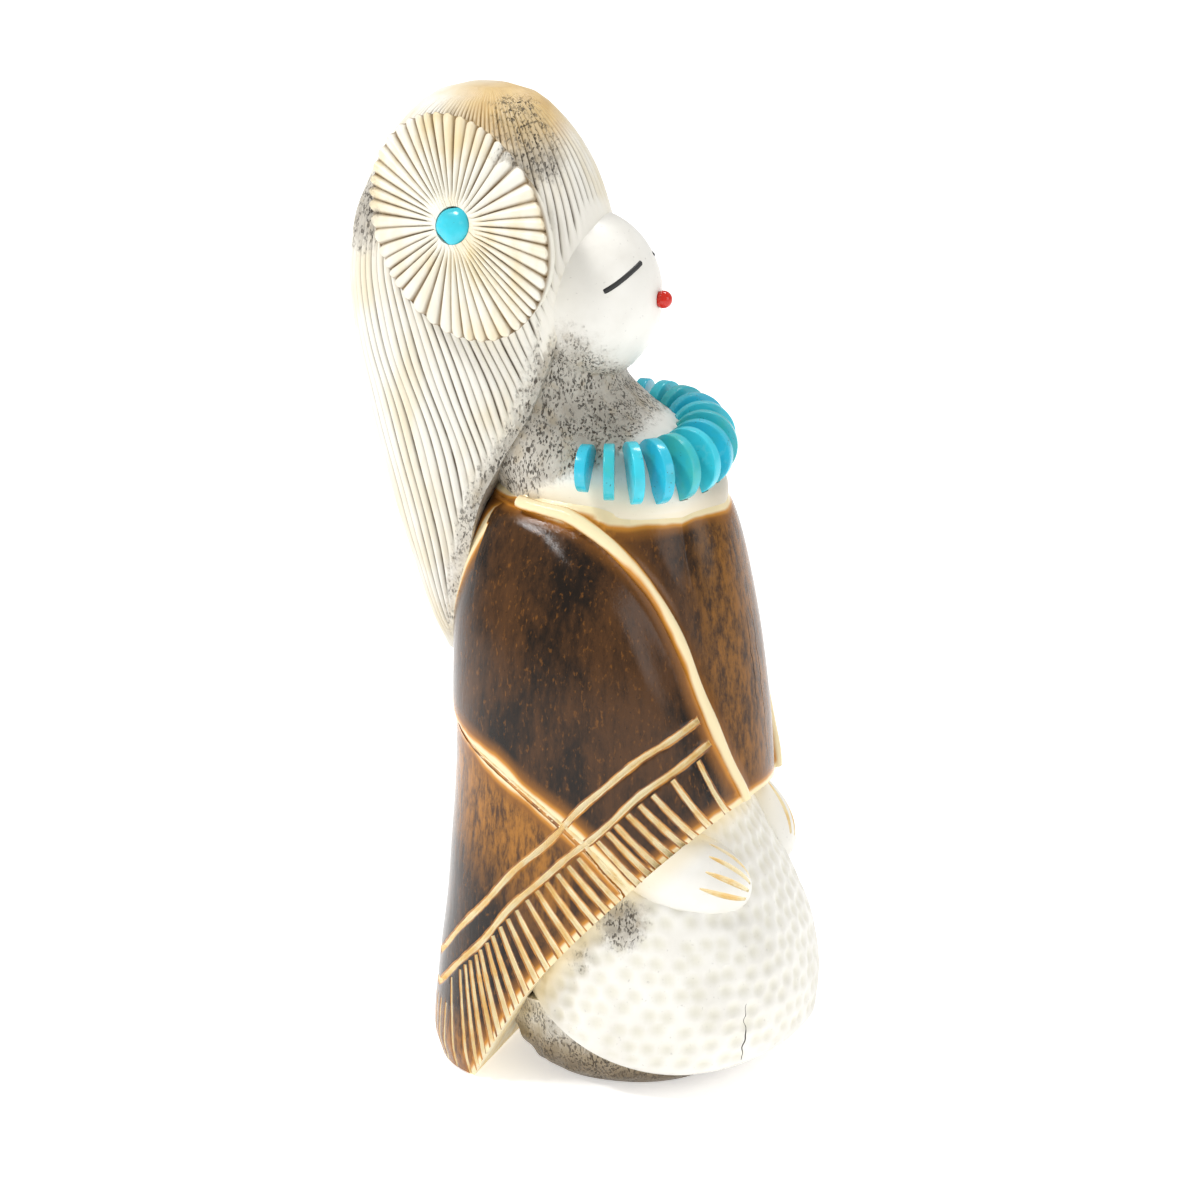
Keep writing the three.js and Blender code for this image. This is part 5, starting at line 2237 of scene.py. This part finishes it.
    def _rosette_stone(self, rosette: Rosette, word: str, finish: Material) -> None:
        """Sets the domed turquoise dot in one rosette.

        Args:
            rosette: The rosette.
            word: The side as a word.
            finish: Its material.
        """
        stone = new_sphere(40, 24, 1.0)
        points = read_points(stone)
        turn = np.arctan2(points[:, 1], points[:, 0])
        uneven = 1 + 0.04 * np.sin(turn * 3 + 1) + 0.03 * np.sin(turn * 5)
        wide, long = rosette.pit_radii
        across = np.sign(points[:, :2]) * np.abs(points[:, :2]) ** 0.9
        across *= uneven[:, None] * np.array((wide - 0.06, long - 0.1))
        height = rosette.thickness - 0.35 + points[:, 2] * 0.85
        write_points(stone, rosette.to_frame(np.column_stack([across, height])))
        stone.data.materials.append(finish)
        smooth_by_angle(stone)
        stone.name = f"rosette_dot_{word}"
        dress(stone, self.riding, "turquoise", f"rosette_stone_{word}")

    def _eye(self, side: int, word: str) -> None:
        """Lays the black line in one eye slot.

        Args:
            side: RIGHT or LEFT.
            word: The side as a word.
        """
        points, normals = self.head.eye_path(side)
        taper = np.sin(np.linspace(0.5, math.pi - 0.5, len(points))) ** 0.35
        profile = round_profile(self.head.eye_radius, self.head.eye_sink)
        rings = sweep(points, normals, profile, taper)
        jet = bpy.data.materials.get("jet") or Plain("jet", (0.008,) * 3, 0.22).build()
        line = Body([jet]).loft(f"eye_line_{word}", rings, Surface.SKIN)
        smooth_by_angle(line)
        dress(line, self.riding, "jet", f"eye_inlay_{word}")

    def _bead(self) -> None:
        """Sets the coral bead of the mouth."""
        bead = new_sphere(40, 26, self.head.bead_radius, self.head.bead_place())
        bead.data.materials.append(Plain("coral", (0.62, 0.02, 0.008), 0.12).build())
        smooth_by_angle(bead)
        bead.name = "coral_bead"
        dress(bead, self.riding, "coral", "mouth_bead")


def read_points(piece: Piece) -> Array:
    """Returns a piece's vertices in millimetres.

    Args:
        piece: The piece.

    Returns:
        The points.
    """
    points = np.empty(len(piece.data.vertices) * 3, np.float32)
    piece.data.vertices.foreach_get("co", points)
    return points.reshape(-1, 3).astype(float) / MM


def write_points(piece: Piece, points: Array) -> None:
    """Moves a piece's vertices to points given in millimetres."""
    piece.data.vertices.foreach_set("co", (points * MM).astype(np.float32).ravel())
    piece.data.update()


def write_attribute(piece: Piece, name: str, values: Array) -> None:
    """Stores one value for each vertex of a piece."""
    attribute = piece.data.attributes.new(name, "FLOAT", "POINT")
    attribute.data.foreach_set("value", np.asarray(values, np.float32))


def gap_to(points: Array, paths: Sequence[Array]) -> Array:
    """Returns the distance from each point to the nearest of some paths.

    Args:
        points: Points in millimetres.
        paths: The paths.

    Returns:
        The distances.
    """
    dense = []
    for path in paths:
        steps = np.linspace(0, len(path) - 1, len(path) * 3)
        places = np.arange(len(path))
        dense.append(np.stack([np.interp(steps, places, a) for a in path.T], axis=-1))
    samples = np.concatenate(dense)
    tree = kdtree.KDTree(len(samples))
    for index, sample in enumerate(samples):
        tree.insert(sample, index)
    tree.balance()
    return np.array([tree.find(point)[2] for point in points])


def keep_main_part(piece: Piece) -> None:
    """Merges doubled points and drops the crumbs that the cuts leave.

    Args:
        piece: The piece.
    """
    mesh = bmesh.new()
    mesh.from_mesh(piece.data)
    bmesh.ops.remove_doubles(mesh, verts=mesh.verts, dist=0.002 * MM)
    unseen = set(mesh.verts)
    parts = []
    while unseen:
        part = {unseen.pop()}
        edge = list(part)
        while edge:
            vertex = edge.pop()
            for link in vertex.link_edges:
                other = link.other_vert(vertex)
                if other in unseen:
                    unseen.discard(other)
                    part.add(other)
                    edge.append(other)
        parts.append(part)
    main = max(parts, key=len)
    crumbs = [vertex for part in parts if part is not main for vertex in part]
    bmesh.ops.delete(mesh, geom=crumbs, context="VERTS")
    mesh.to_mesh(piece.data)
    mesh.free()
    piece.data.update()
    log.info("%d crumbs dropped", len(parts) - 1)


@dataclass
class Studio:
    """A pale floor, soft lights and the camera of the photograph's view."""

    azimuth: float = -72
    elevation: float = 17
    distance: float = 0.7
    lens: float = 196.0
    target: Triple = (-1.32, 4.07, 50.8)
    floor_glow: float = 0.5
    sky: float = 0.46
    lit: Triple = (0, 0.004, 0.055)

    def axes(self) -> tuple[Vector, Vector, Vector]:
        """Returns the camera's right, up and backward directions.

        Returns:
            The three directions.
        """
        a, e = math.radians(self.azimuth), math.radians(self.elevation)
        back = Vector(
            (math.sin(a) * math.cos(e), -math.cos(a) * math.cos(e), math.sin(e))
        )
        right = Vector((math.cos(a), math.sin(a), 0))
        return right, back.cross(right), back

    def build(self) -> None:
        """Builds floor, lights, camera and world."""
        bpy.ops.object.select_all(action="DESELECT")
        bpy.ops.mesh.primitive_plane_add(size=8, location=(0, 0, -0.0002))
        floor = bpy.context.object
        floor.name = "floor"
        graph = Graph("floor_white")
        graph.put(graph.shader.inputs["Emission Color"], (1.0, 1.0, 1.0))
        graph.put(graph.shader.inputs["Emission Strength"], self.floor_glow)
        floor.data.materials.append(graph.finish((0.9, 0.9, 0.9), 0.9))
        self._lights()
        self._camera()
        world = bpy.context.scene.world or bpy.data.worlds.new("studio")
        bpy.context.scene.world = world
        world.use_nodes = True
        background = world.node_tree.nodes["Background"]
        background.inputs["Color"].default_value = (1.0, 1.0, 1.0, 1.0)
        background.inputs["Strength"].default_value = self.sky
        bpy.context.scene.view_settings.view_transform = "Standard"

    def _camera(self) -> None:
        """Sets up the camera."""
        right, up, back = self.axes()
        data = bpy.data.cameras.new("camera")
        data.lens = self.lens
        data.sensor_width = 36
        data.clip_start = 0.01
        data.clip_end = 20
        camera = bpy.data.objects.new("camera", data)
        turn = Matrix((right, up, back)).transposed().to_4x4()
        middle = Vector(self.target) * MM
        camera.matrix_world = Matrix.Translation(middle + back * self.distance) @ turn
        bpy.context.scene.collection.objects.link(camera)
        bpy.context.scene.camera = camera

    def _lights(self) -> None:
        """Hangs the soft boxes: a key from the upper left, a top light and a fill."""
        right, up, back = self.axes()
        middle = Vector(self.lit)
        boxes = (
            ("key", -0.50 * right + 0.62 * up + 0.38 * back, 0.34, 0.10, 5.0),
            ("top", 0.15 * right + 0.8 * up - 0.1 * back, 0.30, 0.12, 2.2),
            ("fill", 0.75 * right + 0.15 * up + 0.5 * back, 0.5, 0.5, 1.6),
        )
        for name, offset, wide, high, power in boxes:
            data = bpy.data.lights.new(name, "AREA")
            data.shape = "RECTANGLE"
            data.size, data.size_y, data.energy = wide, high, power
            light = bpy.data.objects.new(name, data)
            light.location = middle + offset
            light.rotation_euler = offset.to_track_quat("Z", "Y").to_euler()
            bpy.context.scene.collection.objects.link(light)


def main() -> None:
    """Builds the maiden and her studio."""
    logging.basicConfig(level=logging.INFO, format="%(message)s")
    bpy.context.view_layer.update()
    Maiden().build()
    Studio().build()
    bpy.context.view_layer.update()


if __name__ == "__main__":
    main()
